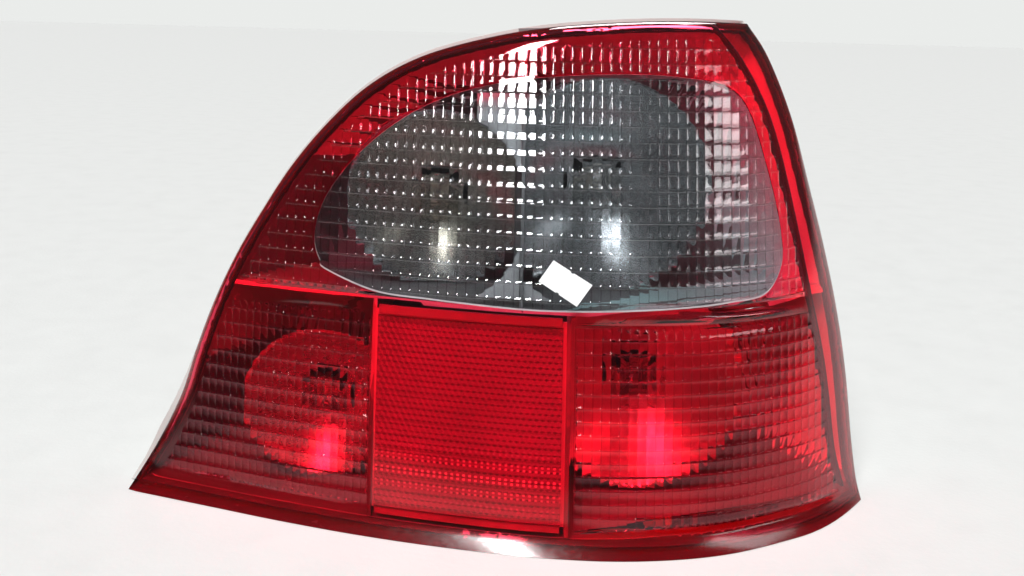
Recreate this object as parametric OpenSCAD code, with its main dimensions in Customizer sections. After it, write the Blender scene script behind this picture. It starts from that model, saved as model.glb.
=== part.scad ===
// Tail light cluster for the left rear corner of a hatchback.
// X runs across the lamp, Y from the lens to the back, Z up. It stands on its lower edge.

/* [Lens] */
// Wall of the red lens and of the smoked window
lens_t = 2.8; // [2:0.1:3.5]
// Depth of the return skirt behind the rim
skirt = 12; // [8:1:14]
// Width of the rolled rim
rim_w = 8; // [5:1:10]
// Depth of the rolled rim
rim_d = 6; // [3:1:7]
// How far the lower lip kicks forward
lip_d = 5; // [2:1:6]
// Height of the lower lip
lip_h = 12; // [8:1:16]

/* [Housing] */
// Plane of the housing's back wall
back_y = 76; // [74:1:84]
// Wall of the housing
wall = 2.5; // [2:0.25:3]
// Thickness of the back wall
back_t = 3; // [2.5:0.5:4]
// Thickness of the chamber walls
rib_t = 2; // [1.5:0.25:3]

/* [Bulbs] */
// Radius of the glass envelope
glass_r = 12.5; // [11:0.5:13]
// Length of the bulb cap
cap_l = 19; // [17:1:20]

/* [Carrier] */
// Thickness of the carrier plate
plate_t = 3; // [2.5:0.5:4]
// Thickness of the seal under the carrier
seal_t = 3; // [2:0.5:4]
// Thickness of the stamped rails
rail_t = 0.8; // [0.6:0.1:1]

/* [Fixings] */
// Radius of the mounting studs
stud_r = 3; // [2.5:0.5:4]
// Free length of the mounting studs
stud_l = 22; // [16:1:28]
// Thickness of the foam ring
foam_t = 4; // [3:1:6]

/* [Hidden] */
$fn = 48;

// Radius of the bulb cap, which its socket is made for
cap_r = 7.5;
// Where the box's bottom centre lies in the drawing frame
org = [188.55, 17.3, 0];
// Samples for each span between two control points
ns = 3;

// Control points [x, z]: the lens outline from the lower left tip over the top,
// down the right side and back along the lower edge; the window outline and the
// back wall's outline, point for point beside it
o_lt = [[0, 0], [15, 25], [26, 48], [33.5, 72], [42.5, 96], [53.5, 119], [66.5, 141], [81, 163],
  [98.5, 184], [119, 203], [143, 217], [172, 226.5], [206, 233.5], [246, 237.3], [280, 238.6], [312, 238.3]];
o_r = [[312, 238.3], [324, 222], [337.5, 190], [347, 158], [356, 127], [364, 95], [369.8, 62], [373.5, 28], [378, 0]];
o_b = [[378, 0], [336, 0], [294, 0], [252, 0], [210, 0], [168, 0], [126, 0], [84, 0], [42, 0], [0, 0]];
w_all = [[102, 117], [99, 121], [97, 125], [96, 129.5], [96, 135], [97.5, 142.5], [101, 151], [107.5, 161],
  [117, 172], [130, 183.5], [147, 194.5], [169, 203.5], [198, 209.8], [235, 213], [265, 213], [289, 210],
  [301, 204.5], [308, 195], [313, 182], [317.5, 168], [321.5, 154], [324.5, 139], [324.5, 125], [315, 112.5],
  [296, 110], [275, 108.5], [252, 107.4], [228, 106.5], [203, 106], [178, 106.6], [153, 107.6], [127, 109.2]];
k_all = [[63, 13], [58, 30], [62, 48], [69, 69], [78, 90], [89, 112], [102, 133], [118, 153],
  [137, 172], [160, 188], [186, 199.5], [210, 206], [234, 210], [256, 212], [276, 211], [293, 205],
  [304, 192], [313, 173], [321, 150], [329, 124], [336, 98], [342, 70], [346, 40], [343, 14],
  [326, 8], [298, 8], [268, 8], [236, 8], [204, 8], [170, 8], [136, 8], [100, 8]];
// How far the housing's flange stands out from the lens, and how full the rolled rim is
e_all = [1.5, 4, 3.6, 1.8, 1.5, 1.5, 1.5, 1.5, 1.5, 1.5, 1.5, 1.5, 1.5, 1.5, 1.5, 1.5,
  1.5, 1.5, 1.5, 1.5, 1.5, 1.5, 1.5, 1.5, 0, 0, 0, 0, 0, 0, 0, 0];
r_all = [0.1, 0.4, 0.8, 1, 1, 1, 1, 1, 1, 1, 1, 1, 1, 1, 1, 0.8,
  0.6, 0.5, 0.5, 0.5, 0.5, 0.4, 0.3, 0.1, 0, 0, 0, 0, 0, 0, 0, 0];
// Plan curve of the face every 42 mm, and the right side's x every 40 mm of height
plan = [2, -13.5, -29, -42.5, -53, -60.5, -62, -54.5, -35, -11];
side = [378, 372.5, 367, 358, 346.5, 334, 310.5];

function at(v, k) = k < 0 ? 2 * v[0] - v[1] : k > len(v) - 1 ? 2 * v[len(v) - 1] - v[len(v) - 2] : v[k];
function cr(a, b, c, d, t) = 0.5 * (2 * b + (c - a) * t + (2 * a - 5 * b + 4 * c - d) * t * t + (3 * b - a - 3 * c + d) * t * t * t);
function along(v, t) = let(i = min(max(floor(t), 0), len(v) - 2), f = t - i) cr(at(v, i - 1), at(v, i), at(v, i + 1), at(v, i + 2), f);
function open_run(v) = [for (i = [0:len(v) - 2], j = [0:ns - 1]) along(v, i + j / ns)];
function closed_run(v) = let(m = len(v)) [for (i = [0:m - 1], j = [0:ns - 1])
  cr(v[(i + m - 1) % m], v[i], v[(i + 1) % m], v[(i + 2) % m], j / ns)];
function linear_run(v) = let(m = len(v)) [for (i = [0:m - 1], j = [0:ns - 1]) v[i] + (v[(i + 1) % m] - v[i]) * j / ns];

// The face of the lens: y over [x, z]
function lean(z) = 0.26 * z + 0.0004 * z * z;
function wrap(x, z) = 16 * pow(max(0, 1 - (along(side, z / 40) - x) / 45), 2);
function lip(z) = lip_d * pow(max(0, 1 - z / lip_h), 2);
function face(x, z) = along(plan, x / 42) + lean(max(z, 0)) + wrap(x, max(z, 0)) - lip(max(z, 0));
function roll(d) = d >= rim_w ? 0 : rim_d * (1 - sqrt(max(0, 1 - pow((rim_w - d) / rim_w, 2))));

outl = concat(open_run(o_lt), open_run(o_r), open_run(o_b));
wind = closed_run(w_all);
back = closed_run(k_all);
flare = linear_run(e_all);
full = linear_run(r_all);
N = len(outl);

// Moves a closed run of points in by d, mitred at its corners
function unit(v) = v / norm(v);
function inward(p, q) = let(u = unit(q - p)) [u[1], -u[0]];
function inset_at(v, i, d) = let(m = len(v), n1 = inward(v[(i + m - 1) % m], v[i]), n2 = inward(v[i], v[(i + 1) % m]))
  v[i] + (n1 + n2) * d / (1 + n1 * n2);
function inset(v, d) = [for (i = [0:len(v) - 1]) inset_at(v, i, d)];
// The same with a distance of its own at each point, kept above the ground
function inset_by(v, d) = [for (i = [0:len(v) - 1]) let(p = inset_at(v, i, d[i])) [p[0], max(0, p[1])]];

rim_y = [for (i = [0:N - 1]) face(outl[i][0], outl[i][1]) + rim_d * full[i]];
function ring(p, y) = [for (i = [0:N - 1]) [p[i][0], y[i], p[i][1]]];
function level(y) = [for (i = [0:N - 1]) y];
function plus(y, d) = [for (v = y) v + d];
function face_ring(p, d, o) = [for (i = [0:N - 1]) [p[i][0], face(p[i][0], p[i][1]) + roll(d) * full[i] + o, p[i][1]]];
// Rings that run from the outline towards the window, d in from the edge
function toward(d) = [for (i = [0:N - 1]) let(o = outl[i], u = unit(wind[i] - o),
  n = unit(inward(outl[(i + N - 1) % N], o) + inward(o, outl[(i + 1) % N]))) o + u * d * min(2.6, 1 / (u * n))];
function mix(a, b, f) = [for (i = [0:len(a) - 1]) a[i] + (b[i] - a[i]) * f];

// Skins a stack of closed rings, joined end to end or closed at both ends; inner turns the faces over
module skin(rings, loop = false, inner = false) {
  m = len(rings); n = len(rings[0]);
  pts = [for (r = rings, p = r) p];
  sides = [for (k = [0:m - (loop ? 1 : 2)], i = [0:n - 1])
    let(a = k * n, b = ((k + 1) % m) * n, j = (i + 1) % n) each [[a + i, b + i, b + j], [a + i, b + j, a + j]]];
  ends = loop ? [] : [[for (i = [0:n - 1]) i], [for (i = [0:n - 1]) (m - 1) * n + n - 1 - i]];
  polyhedron(pts, [for (f = concat(sides, ends)) inner ? [for (i = [len(f) - 1:-1:0]) f[i]] : f], convexity = 10);
}

// A curved slab that follows the face between two distances behind it; c holds its four corners [x, z]
module slab(c, nu, nv, near, far) {
  g = [for (v = [0:nv], u = [0:nu]) let(a = c[0] + (c[1] - c[0]) * u / nu, b = c[3] + (c[2] - c[3]) * u / nu) a + (b - a) * v / nv];
  pts = concat([for (p = g) [p[0], face(p[0], p[1]) + near, p[1]]], [for (p = g) [p[0], face(p[0], p[1]) + far, p[1]]]);
  w = nu + 1; s = w * (nv + 1);
  tri = [for (v = [0:nv - 1], u = [0:nu - 1]) let(a = v * w + u, b = a + 1, d = a + w, e = d + 1)
    each [[a, e, b], [a, d, e], [s + a, s + b, s + e], [s + a, s + e, s + d]]];
  low = [for (u = [0:nu - 1]) each [[u, u + 1, s + u + 1], [u, s + u + 1, s + u]]];
  top = [for (u = [0:nu - 1]) let(a = nv * w + u) each [[a, s + a, s + a + 1], [a, s + a + 1, a + 1]]];
  left = [for (v = [0:nv - 1]) let(a = v * w) each [[a, s + a, s + a + w], [a, s + a + w, a + w]]];
  right = [for (v = [0:nv - 1]) let(a = v * w + nu) each [[a, a + w, s + a + w], [a, s + a + w, s + a]]];
  polyhedron(pts, concat(tri, low, top, left, right), convexity = 4);
}

module place() { translate(-org) children(); }
// Turns a shape drawn along Z so that it looks out of the lens, from a point on [x, z]
module ahead(x, y, z) { translate([x, y, z]) rotate([90, 0, 0]) children(); }
module rod(x, y1, y2, z, r) { ahead(x, y2, z) cylinder(r = r, h = y2 - y1); }
module bar(x1, x2, y1, y2, z1, z2) { translate([x1, y1, z1]) cube([x2 - x1, y2 - y1, z2 - z1]); }

// A polygon [x, z] with rounded corners, and the same stood up as a plate between two planes
function fillet(a, b, c, r, n) = let(u = unit(a - b), v = unit(c - b), h = acos(u * v) / 2, d = r / tan(h), o = b + unit(u + v) * r / sin(h),
  s = b + u * d - o, e = b + v * d - o, a0 = atan2(s[1], s[0]), a1 = atan2(e[1], e[0]), t = a1 - a0, w = t > 180 ? t - 360 : t < -180 ? t + 360 : t)
  [for (k = [0:n]) o + r * [cos(a0 + w * k / n), sin(a0 + w * k / n)]];
function rounded(v, r, n = 4) = let(m = len(v)) [for (i = [0:m - 1]) each fillet(v[(i + m - 1) % m], v[i], v[(i + 1) % m], r, n)];
module upright(v, y1, y2) { translate([0, y2, 0]) rotate([90, 0, 0]) linear_extrude(height = y2 - y1) polygon(v); }

// Lamp positions: x, z, vertex of the bowl, its radius, its focal length and the turn of its bayonet
indicator = [154, 148, 50, 44, 20, 0];
reverse = [236, 157, 48, 53, 22, 0];
stop_tail = [258, 60, 23, 50, 20, 90];
fog = [98, 46, 22, 38, 18, 0];
lamps = [indicator, reverse, stop_tail, fog];
neck_r = 15.5;

// ---- Lens ----
edge = toward(rim_w);
module lens_red() {
  near = [0, 0.5, 1.8, 4.2];
  low = toward(lip_h);
  body = mix(wind, low, 0.34);
  body2 = mix(wind, low, 0.68);
  place() color([0.72, 0.03, 0.07, 0.8]) skin([
    face_ring(wind, 99, 0), face_ring(body, 99, 0), face_ring(body2, 99, 0), face_ring(low, 99, 0), face_ring(edge, 99, 0),
    face_ring(toward(near[3]), near[3], 0), face_ring(toward(near[2]), near[2], 0),
    face_ring(toward(near[1]), near[1], 0), ring(outl, rim_y),
    ring(outl, plus(rim_y, skirt)), ring(inset(outl, 2.4), plus(rim_y, skirt)), ring(inset(outl, 2.4), plus(rim_y, lens_t)),
    face_ring(toward(near[3]), near[3], lens_t), face_ring(edge, 99, lens_t), face_ring(low, 99, lens_t),
    face_ring(body2, 99, lens_t), face_ring(body, 99, lens_t), face_ring(wind, 99, lens_t)], true);
}
mid_w = [215, 158];
module lens_smoke() {
  mid = [for (i = [0:N - 1]) mid_w];
  place() color([0.3, 0.3, 0.32, 0.7]) skin([
    face_ring(mix(mid, wind, 0.1), 99, 0), face_ring(mix(mid, wind, 0.4), 99, 0), face_ring(mix(mid, wind, 0.7), 99, 0), face_ring(wind, 99, 0),
    face_ring(wind, 99, lens_t), face_ring(mix(mid, wind, 0.7), 99, lens_t), face_ring(mix(mid, wind, 0.4), 99, lens_t), face_ring(mix(mid, wind, 0.1), 99, lens_t)]);
}
module reflex_reflector() { place() color([0.7, 0.05, 0.08]) slab([[129.5, 11], [217, 11], [217.5, 98], [129, 98]], 10, 6, lens_t + 0.4, lens_t + 3.2); }
module reflex_backing() { place() color([0.75, 0.76, 0.75]) slab([[128, 9.5], [219, 9.5], [219, 100], [128, 100]], 10, 6, lens_t + 3.4, lens_t + 5.4); }
module label() { place() color("white") slab([[205, 119.4], [222.9, 109], [230, 118.7], [211.8, 129]], 5, 3, -0.4, -0.1); }

// ---- Housing ----
body_in = inset(outl, 2);
function tub(x, d) = inset(back, x + d);
module tub_walls() {
  fl = inset_by(outl, [for (f = flare) -f]);
  skin([
    ring(tub(3, 0), level(back_y)), ring(back, level(back_y - 5)), ring(body_in, plus(rim_y, skirt + 2.6)), ring(fl, plus(rim_y, skirt + 2.6)),
    ring(fl, plus(rim_y, skirt + 0.1)), ring(outl, plus(rim_y, skirt + 0.1)), ring(inset(outl, 2.4), plus(rim_y, skirt + 0.1)),
    ring(inset(outl, wall + 2.1), plus(rim_y, skirt + 0.1)), ring(tub(wall, 0), level(back_y - 6)), ring(tub(wall + 2.5, 0), level(back_y - back_t))], false, true);
}
// The space inside the tub and the lens that the chamber walls may fill
module inside() {
  skin([ring(inset(outl, 5.4), plus(rim_y, 3.6)), ring(inset(outl, 4.8), plus(rim_y, skirt)), ring(inset(outl, 3.4), plus(rim_y, skirt + 1)), ring(tub(1.2, 0), level(back_y - 5.5)), ring(tub(5, 0), level(back_y - 1))]);
}
gap = lens_t + 1.2;
module upright_wall(x, z1, z2, g = gap, deep = back_y - 1) {
  n = 8;
  translate([x - rib_t / 2, 0, 0]) rotate([90, 0, 90]) linear_extrude(height = rib_t)
    polygon(concat([for (k = [0:n]) let(z = z1 + (z2 - z1) * k / n) [face(x, z) + g, z]], [[deep, z2], [deep, z1]]));
}
module level_wall(z, x1, x2) {
  n = 16;
  translate([0, 0, z]) linear_extrude(height = rib_t)
    polygon(concat([for (k = [0:n]) let(x = x1 + (x2 - x1) * k / n) [x, face(x, z + rib_t) + gap]], [[x2, back_y - 1], [x1, back_y - 1]]));
}
stud_at = [[196, 185], [100, 94], [316, 72]];
breather_at = [296, 150];
module housing() {
  place() color([0.72, 0.73, 0.71]) difference() {
    union() {
      tub_walls();
      intersection() {
        inside();
        union() {
          level_wall(102.5, 20, 360);
          upright_wall(197.5, 103.5, 225);
          upright_wall(127, 6, 103.5);
          upright_wall(220, 6, 103.5);
        }
      }
      // bosses for the studs, each with three gussets
      for (s = stud_at) {
        rod(s[0], back_y - 12, back_y + 1.5, s[1], 6.5);
        for (a = [30, 150, 270]) hull() {
          rod(s[0], back_y - 11, back_y - 1, s[1], 1);
          rod(s[0] + 12 * cos(a), back_y - 3, back_y - 1, s[1] + 12 * sin(a), 1);
        }
      }
      // feet
      for (x = [112, 286]) bar(x, x + 4, 10, back_y - 8, 0, 9.5);
      // catches for the carrier
      bar(289.5, 293.5, back_y - 1, back_y + 9, 62, 78);
      bar(172, 188, back_y - 1, back_y + 9, 181, 185);
      // vent spout
      rod(breather_at[0], back_y - 1, back_y + 7, breather_at[1], 4);
    }
    for (l = lamps) rod(l[0], back_y - 12, back_y + 5, l[1], neck_r + 0.1);
    for (s = stud_at) rod(s[0], back_y - 9.6, back_y + 5, s[1], 4.02);
    for (s = stud_at) rod(s[0], back_y - 9.6, back_y - 6.4, s[1], 5.02);
    rod(breather_at[0], back_y - 8, back_y + 9, breather_at[1], 2.5);
  }
}

// ---- Reflector bowls ----
// Section of a bowl, drawn out of the lens along Y: neck, bowl and rolled lip
module bowl(l) {
  r0 = 13.5; n = 14; R = l[3]; p = l[4];
  function dish(r) = (r * r - r0 * r0) / (4 * p);
  ahead(l[0], l[2], l[1]) rotate_extrude($fn = 96) polygon(concat(
    [[r0, 0]], [for (k = [1:n]) let(r = r0 + (R - r0) * k / n) [r, dish(r)]],
    [[R + 1.4, dish(R)], [R + 1.4, dish(R) - 2]], [for (k = [n - 1:-1:2]) let(r = r0 + (R - r0) * k / n) [r + 0.7, dish(r) - 1.6]],
    [[neck_r, -2.2], [neck_r, l[2] - back_y], [r0, l[2] - back_y]]));
}
module indicator_reflector() {
  place() color([0.85, 0.85, 0.87]) intersection() { bowl(indicator); bar(90, 196.2, -20, 90, 105.2, 230); }
}
module reverse_reflector() {
  place() color([0.85, 0.85, 0.87]) intersection() { bowl(reverse); bar(199, 320, -20, 90, 105.2, 230); }
}
module stop_tail_reflector() {
  place() color([0.85, 0.85, 0.87]) intersection() { bowl(stop_tail); bar(221.6, 330, -40, 90, 0, 101.8); }
}
module fog_reflector() {
  place() color([0.85, 0.85, 0.87]) intersection() { bowl(fog); bar(20, 125.4, -30, 90, 0, 101.8); }
}

// ---- Bulbs ----
// Each bulb's filament lies in the focus of its bowl
function focus(l) = l[2] - l[4];
module glass(l) {
  f = focus(l); c = f + 22;
  prof = [[6.7, -5], [6.7, 1], [8.4, 4], [11, 9], [glass_r, 15], [glass_r, 21.5], [11.4, 27], [8.6, 31], [4.6, 33.4], [0, 34]];
  ahead(l[0], c, l[1]) rotate_extrude() polygon(concat(prof,
    [[0, 33.2], [4.3, 32.6], [8, 30.4], [10.7, 26.6], [glass_r - 0.8, 21.4], [glass_r - 0.8, 15.1], [10.3, 9.4], [7.7, 4.5], [6, 1.2], [6, -5]]));
}
module cap(l) {
  f = focus(l); c = f + 22;
  ahead(l[0], c + cap_l, l[1]) union() {
    rotate_extrude() polygon([[0, 0], [3, 0], [3, 1], [5.6, 1], [6.4, 1.8], [cap_r, 3.4], [cap_r, cap_l], [6.8, cap_l], [6.8, 4], [0, 4]]);
    for (a = [0, 180]) rotate([0, 0, a + l[5]]) translate([cap_r - 0.4, 0, 9]) rotate([0, 90, 0]) cylinder(r = 1, h = 1.3, $fn = 24);
  }
}
// Support wires with a coil between them; d shifts a second coil
module wires(l, two = false) {
  f = focus(l); c = f + 22 + cap_l - 4;
  for (s = two ? [-1.8, 1.8] : [0]) {
    for (x = [-3.4, 3.4]) rod(l[0] + x, f - 0.3, c, l[1] + s, 0.35, $fn = 16);
    translate([l[0] - 3.6, f, l[1] + s]) rotate([0, 90, 0]) cylinder(r = 0.65, h = 7.2, $fn = 24);
  }
  // glass bead that ties the wires
  translate([l[0] - 4.6, f + 12, l[1] - (two ? 3 : 1.2)]) cube([9.2, 2.4, two ? 6 : 2.4]);
}
amber = [0.95, 0.55, 0.1, 0.6];
clear = [0.9, 0.92, 0.92, 0.4];
module indicator_bulb_glass() { place() color(amber) glass(indicator); }
module indicator_bulb_cap() { place() color([0.78, 0.72, 0.5]) cap(indicator); }
module indicator_filament() { place() color([0.6, 0.6, 0.62]) wires(indicator); }
module reverse_bulb_glass() { place() color(clear) glass(reverse); }
module reverse_bulb_cap() { place() color([0.78, 0.72, 0.5]) cap(reverse); }
module reverse_filament() { place() color([0.6, 0.6, 0.62]) wires(reverse); }
module stop_tail_bulb_glass() { place() color(clear) glass(stop_tail); }
module stop_tail_bulb_cap() { place() color([0.78, 0.72, 0.5]) cap(stop_tail); }
module stop_tail_filament() { place() color([0.6, 0.6, 0.62]) wires(stop_tail, true); }
module fog_bulb_glass() { place() color(clear) glass(fog); }
module fog_bulb_cap() { place() color([0.78, 0.72, 0.5]) cap(fog); }
module fog_filament() { place() color([0.6, 0.6, 0.62]) wires(fog); }

// ---- Bulb carrier ----
plate_y = back_y + seal_t;
rear_y = plate_y + plate_t;
plate_v = [[76, 24], [280, 34], [287, 84], [264, 178], [180, 176], [153, 171], [134, 158], [114, 72], [78, 64]];
con = [190, 112];
con_w = 36; con_h = 16; con_l = 20;
pin_x = [for (k = [0:5]) con[0] - 12.5 + 5 * k];
module tower(l) {
  front = l[2] + 3;
  ahead(l[0], plate_y + 0.5, l[1]) difference() {
    cylinder(r = 10.5, h = plate_y + 0.5 - front);
    translate([0, 0, 0.5]) cylinder(r = 8.6, h = plate_y - front - 5);
    cylinder(r = 7.6, h = 200);
    // keyways that let the cap's pins in
    for (a = [0, 180]) rotate([0, 0, a + l[5]]) translate([0, -1.3, 10]) cube([8.6, 2.6, 200]);
  }
}
module bulb_carrier() {
  place() color([0.2, 0.2, 0.21]) difference() {
    union() {
      upright(rounded(plate_v, 6), plate_y, rear_y);
      for (l = lamps) tower(l);
      // stiffening rim round the plate
      difference() {
        upright(rounded(plate_v, 6), rear_y - 0.5, rear_y + 4);
        upright(rounded(inset_poly(plate_v, 2), 4), rear_y - 1, rear_y + 5);
      }
      // connector shroud
      difference() {
        bar(con[0] - con_w / 2, con[0] + con_w / 2, rear_y - 0.5, rear_y + con_l, con[1] - con_h / 2, con[1] + con_h / 2);
        bar(con[0] - con_w / 2 + 2, con[0] + con_w / 2 - 2, rear_y + 2.6, rear_y + con_l + 1, con[1] - con_h / 2 + 2, con[1] + con_h / 2 - 2);
      }
      // locking ramp on the shroud
      bar(con[0] - 4, con[0] + 4, rear_y + con_l - 6, rear_y + con_l - 3, con[1] + con_h / 2 - 0.5, con[1] + con_h / 2 + 1.6);
      // two catch arms with finger pads
      bar(284.5, 288.8, plate_y + 0.5, rear_y + 12, 63, 77);
      bar(284.5, 291.5, rear_y + 4.2, rear_y + 6.2, 63, 77);
      bar(173, 187, plate_y + 0.5, rear_y + 12, 173.5, 180.4);
      bar(173, 187, rear_y + 4.2, rear_y + 6.2, 173.5, 183.2);
    }
    // slots that the rails pass through
    for (l = lamps) {
      w = l[5] > 0 ? 4 : 2.2;
      bar(l[0] - w, l[0] + w, plate_y - 2, rear_y + 0.2, l[1] - 2.2, l[1] - 0.8);
      if (l[5] > 0) bar(l[0] + 7.4, l[0] + 8.4, plate_y - 2, rear_y + 0.2, l[1] - 2.2, l[1] + 2.2);
      else bar(l[0] - 2.2, l[0] + 2.2, plate_y - 2, rear_y + 0.2, l[1] + 7.4, l[1] + 8.4);
    }
    // room for the blades and tracks under the shroud
    bar(con[0] - 15, con[0] + 15, rear_y - 0.6, rear_y + 1.4, con[1] - con_h / 2 - 1, con[1] + con_h / 2 + 1);
    bar(con[0], con[0] + con_w / 2 + 1, rear_y - 0.6, rear_y + 1.4, con[1] - 2.2, con[1] + 2.2);
    for (x = pin_x) bar(x - 1.6, x + 1.6, rear_y, rear_y + 4, con[1] - 0.6, con[1] + 0.6);
  }
}
function inset_poly(v, d) = [for (i = [0:len(v) - 1]) inset_ccw(v, i, d)];
function inset_ccw(v, i, d) = let(m = len(v), n1 = -inward(v[(i + m - 1) % m], v[i]), n2 = -inward(v[i], v[(i + 1) % m]))
  v[i] + (n1 + n2) * d / (1 + n1 * n2);
module carrier_seal() {
  v = inset_poly(plate_v, 1);
  place() color([0.12, 0.12, 0.13]) difference() {
    upright(rounded(v, 5), back_y, plate_y);
    upright(rounded(inset_poly(plate_v, 4), 2.4), back_y - 1, plate_y + 1);
  }
}

// ---- Stamped rails ----
// A flat track on the carrier along points [x, z], w wide, with square turns
module track(v, w) {
  for (i = [0:len(v) - 2]) {
    a = v[i]; b = v[i + 1];
    bar(min(a[0], b[0]) - w / 2, max(a[0], b[0]) + w / 2, rear_y, rear_y + rail_t, min(a[1], b[1]) - w / 2, max(a[1], b[1]) + w / 2);
  }
}
module blade(k) { bar(pin_x[k] - 1.4, pin_x[k] + 1.4, rear_y, rear_y + con_l - 5, con[1] - 0.4, con[1] + 0.4); }
// Tongue through the plate to the foot of the cap
module tongue(l, dx = 0, w = 3.2) {
  foot = focus(l) + 22 + cap_l;
  bar(l[0] + dx - w / 2, l[0] + dx + w / 2, foot + 1.1, rear_y + rail_t, l[1] - 1.9, l[1] - 1.1);
  bar(l[0] + dx - w / 2, l[0] + dx + w / 2, foot + 0.05, foot + 1.2, l[1] - 1.9, l[1] + 1.6);
}
// Side spring along the cap's wall, above it or to its right
module side_spring(l) {
  r = cap_r + 0.05;
  if (l[5] > 0) bar(l[0] + r, l[0] + r + 0.6, l[2] + 10, rear_y + rail_t, l[1] - 2, l[1] + 2);
  else bar(l[0] - 2, l[0] + 2, l[2] + 10, rear_y + rail_t, l[1] + r, l[1] + r + 0.6);
}
brass = [0.8, 0.66, 0.35];
module fog_feed_rail() {
  place() color(brass) union() { track([[pin_x[0], con[1]], [pin_x[0], fog[1]], [fog[0], fog[1]]], 3.4); blade(0); tongue(fog); }
}
module indicator_feed_rail() {
  place() color(brass) union() { track([[pin_x[1], con[1]], [pin_x[1], 130], [indicator[0], 130], [indicator[0], indicator[1]]], 3.4); blade(1); tongue(indicator); }
}
module reverse_feed_rail() {
  place() color(brass) union() { track([[pin_x[2], con[1]], [pin_x[2], 136], [reverse[0], 136], [reverse[0], reverse[1]]], 3.4); blade(2); tongue(reverse); }
}
module tail_feed_rail() {
  place() color(brass) union() { track([[pin_x[3], con[1]], [pin_x[3], stop_tail[1]], [stop_tail[0] - 2.6, stop_tail[1]]], 3); blade(3); tongue(stop_tail, -2.4, 2.4); }
}
module stop_feed_rail() {
  place() color(brass) union() { track([[pin_x[4], con[1]], [pin_x[4], 72], [stop_tail[0] + 2.6, 72], [stop_tail[0] + 2.6, stop_tail[1]]], 3); blade(4); tongue(stop_tail, 2.4, 2.4); }
}
module ground_rail() {
  place() color(brass) union() {
    track([[pin_x[5], con[1]], [256, con[1]], [256, 168], [160, 168], [160, 158], [indicator[0], 158], [indicator[0], 157]], 3.4);
    track([[reverse[0], 168], [reverse[0], 166]], 3.4);
    track([[256, con[1]], [276, con[1]], [276, stop_tail[1]], [267.4, stop_tail[1]]], 3.4);
    track([[indicator[0], 158], [143, 158], [143, 62], [fog[0], 62], [fog[0], 55]], 3.4);
    blade(5);
    for (l = lamps) side_spring(l);
  }
}

// ---- Seals, fixings and small parts ----
module body_gasket() {
  place() color([0.1, 0.1, 0.11]) difference() {
    upright(tub(3.4, 0), back_y, back_y + foam_t);
    upright(tub(7.4, 0), back_y - 1, back_y + foam_t + 1);
  }
}
module mounting_studs() {
  place() color([0.75, 0.76, 0.78]) for (s = stud_at) union() {
    rod(s[0], back_y + 1, back_y + 1.5 + stud_l, s[1], stud_r);
    rod(s[0], back_y - 9.5, back_y + 1.5, s[1], 4);
    rod(s[0], back_y - 9.5, back_y - 6.5, s[1], 5);
  }
}
module breather() {
  place() color([0.12, 0.12, 0.13]) difference() {
    union() { rod(breather_at[0], back_y + 1, back_y + 10, breather_at[1], 6); rod(breather_at[0], back_y + 8.5, back_y + 10, breather_at[1], 7); }
    rod(breather_at[0], back_y, back_y + 7.5, breather_at[1], 4.05);
    for (a = [0, 90]) translate([breather_at[0], back_y + 2.2, breather_at[1]]) rotate([0, a, 0]) cube([1.6, 2.6, 20], center = true);
  }
}

lens_red();
lens_smoke();
reflex_reflector();
reflex_backing();
housing();
indicator_reflector();
reverse_reflector();
stop_tail_reflector();
fog_reflector();
indicator_bulb_glass();
indicator_bulb_cap();
indicator_filament();
reverse_bulb_glass();
reverse_bulb_cap();
reverse_filament();
stop_tail_bulb_glass();
stop_tail_bulb_cap();
stop_tail_filament();
fog_bulb_glass();
fog_bulb_cap();
fog_filament();
bulb_carrier();
ground_rail();
indicator_feed_rail();
reverse_feed_rail();
stop_feed_rail();
tail_feed_rail();
fog_feed_rail();
carrier_seal();
body_gasket();
mounting_studs();
breather();
label();
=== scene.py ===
import math
import bpy
import numpy as np
from mathutils import Matrix, Vector
from mathutils.geometry import delaunay_2d_cdt


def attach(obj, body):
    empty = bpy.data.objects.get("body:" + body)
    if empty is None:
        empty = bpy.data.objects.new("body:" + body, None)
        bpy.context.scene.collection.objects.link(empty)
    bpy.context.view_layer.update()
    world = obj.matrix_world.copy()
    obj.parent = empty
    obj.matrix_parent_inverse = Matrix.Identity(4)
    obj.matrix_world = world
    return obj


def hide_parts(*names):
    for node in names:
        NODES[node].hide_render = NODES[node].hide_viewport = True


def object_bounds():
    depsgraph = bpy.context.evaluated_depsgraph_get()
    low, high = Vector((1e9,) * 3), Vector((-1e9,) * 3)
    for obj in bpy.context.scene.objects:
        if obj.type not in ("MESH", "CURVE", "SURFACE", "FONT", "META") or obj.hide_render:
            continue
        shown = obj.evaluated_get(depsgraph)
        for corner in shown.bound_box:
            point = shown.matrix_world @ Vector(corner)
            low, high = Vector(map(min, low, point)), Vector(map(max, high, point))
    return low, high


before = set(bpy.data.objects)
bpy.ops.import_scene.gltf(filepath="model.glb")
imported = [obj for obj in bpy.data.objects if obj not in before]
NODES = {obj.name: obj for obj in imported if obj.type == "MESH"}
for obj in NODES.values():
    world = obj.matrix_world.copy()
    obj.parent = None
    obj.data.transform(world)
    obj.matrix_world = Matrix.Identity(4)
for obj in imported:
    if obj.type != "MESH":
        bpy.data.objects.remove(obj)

CAD_BOX = [list(v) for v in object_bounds()]
ORG = np.array([188.55, 17.3, 0.0])
rng = np.random.default_rng(7)

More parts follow.
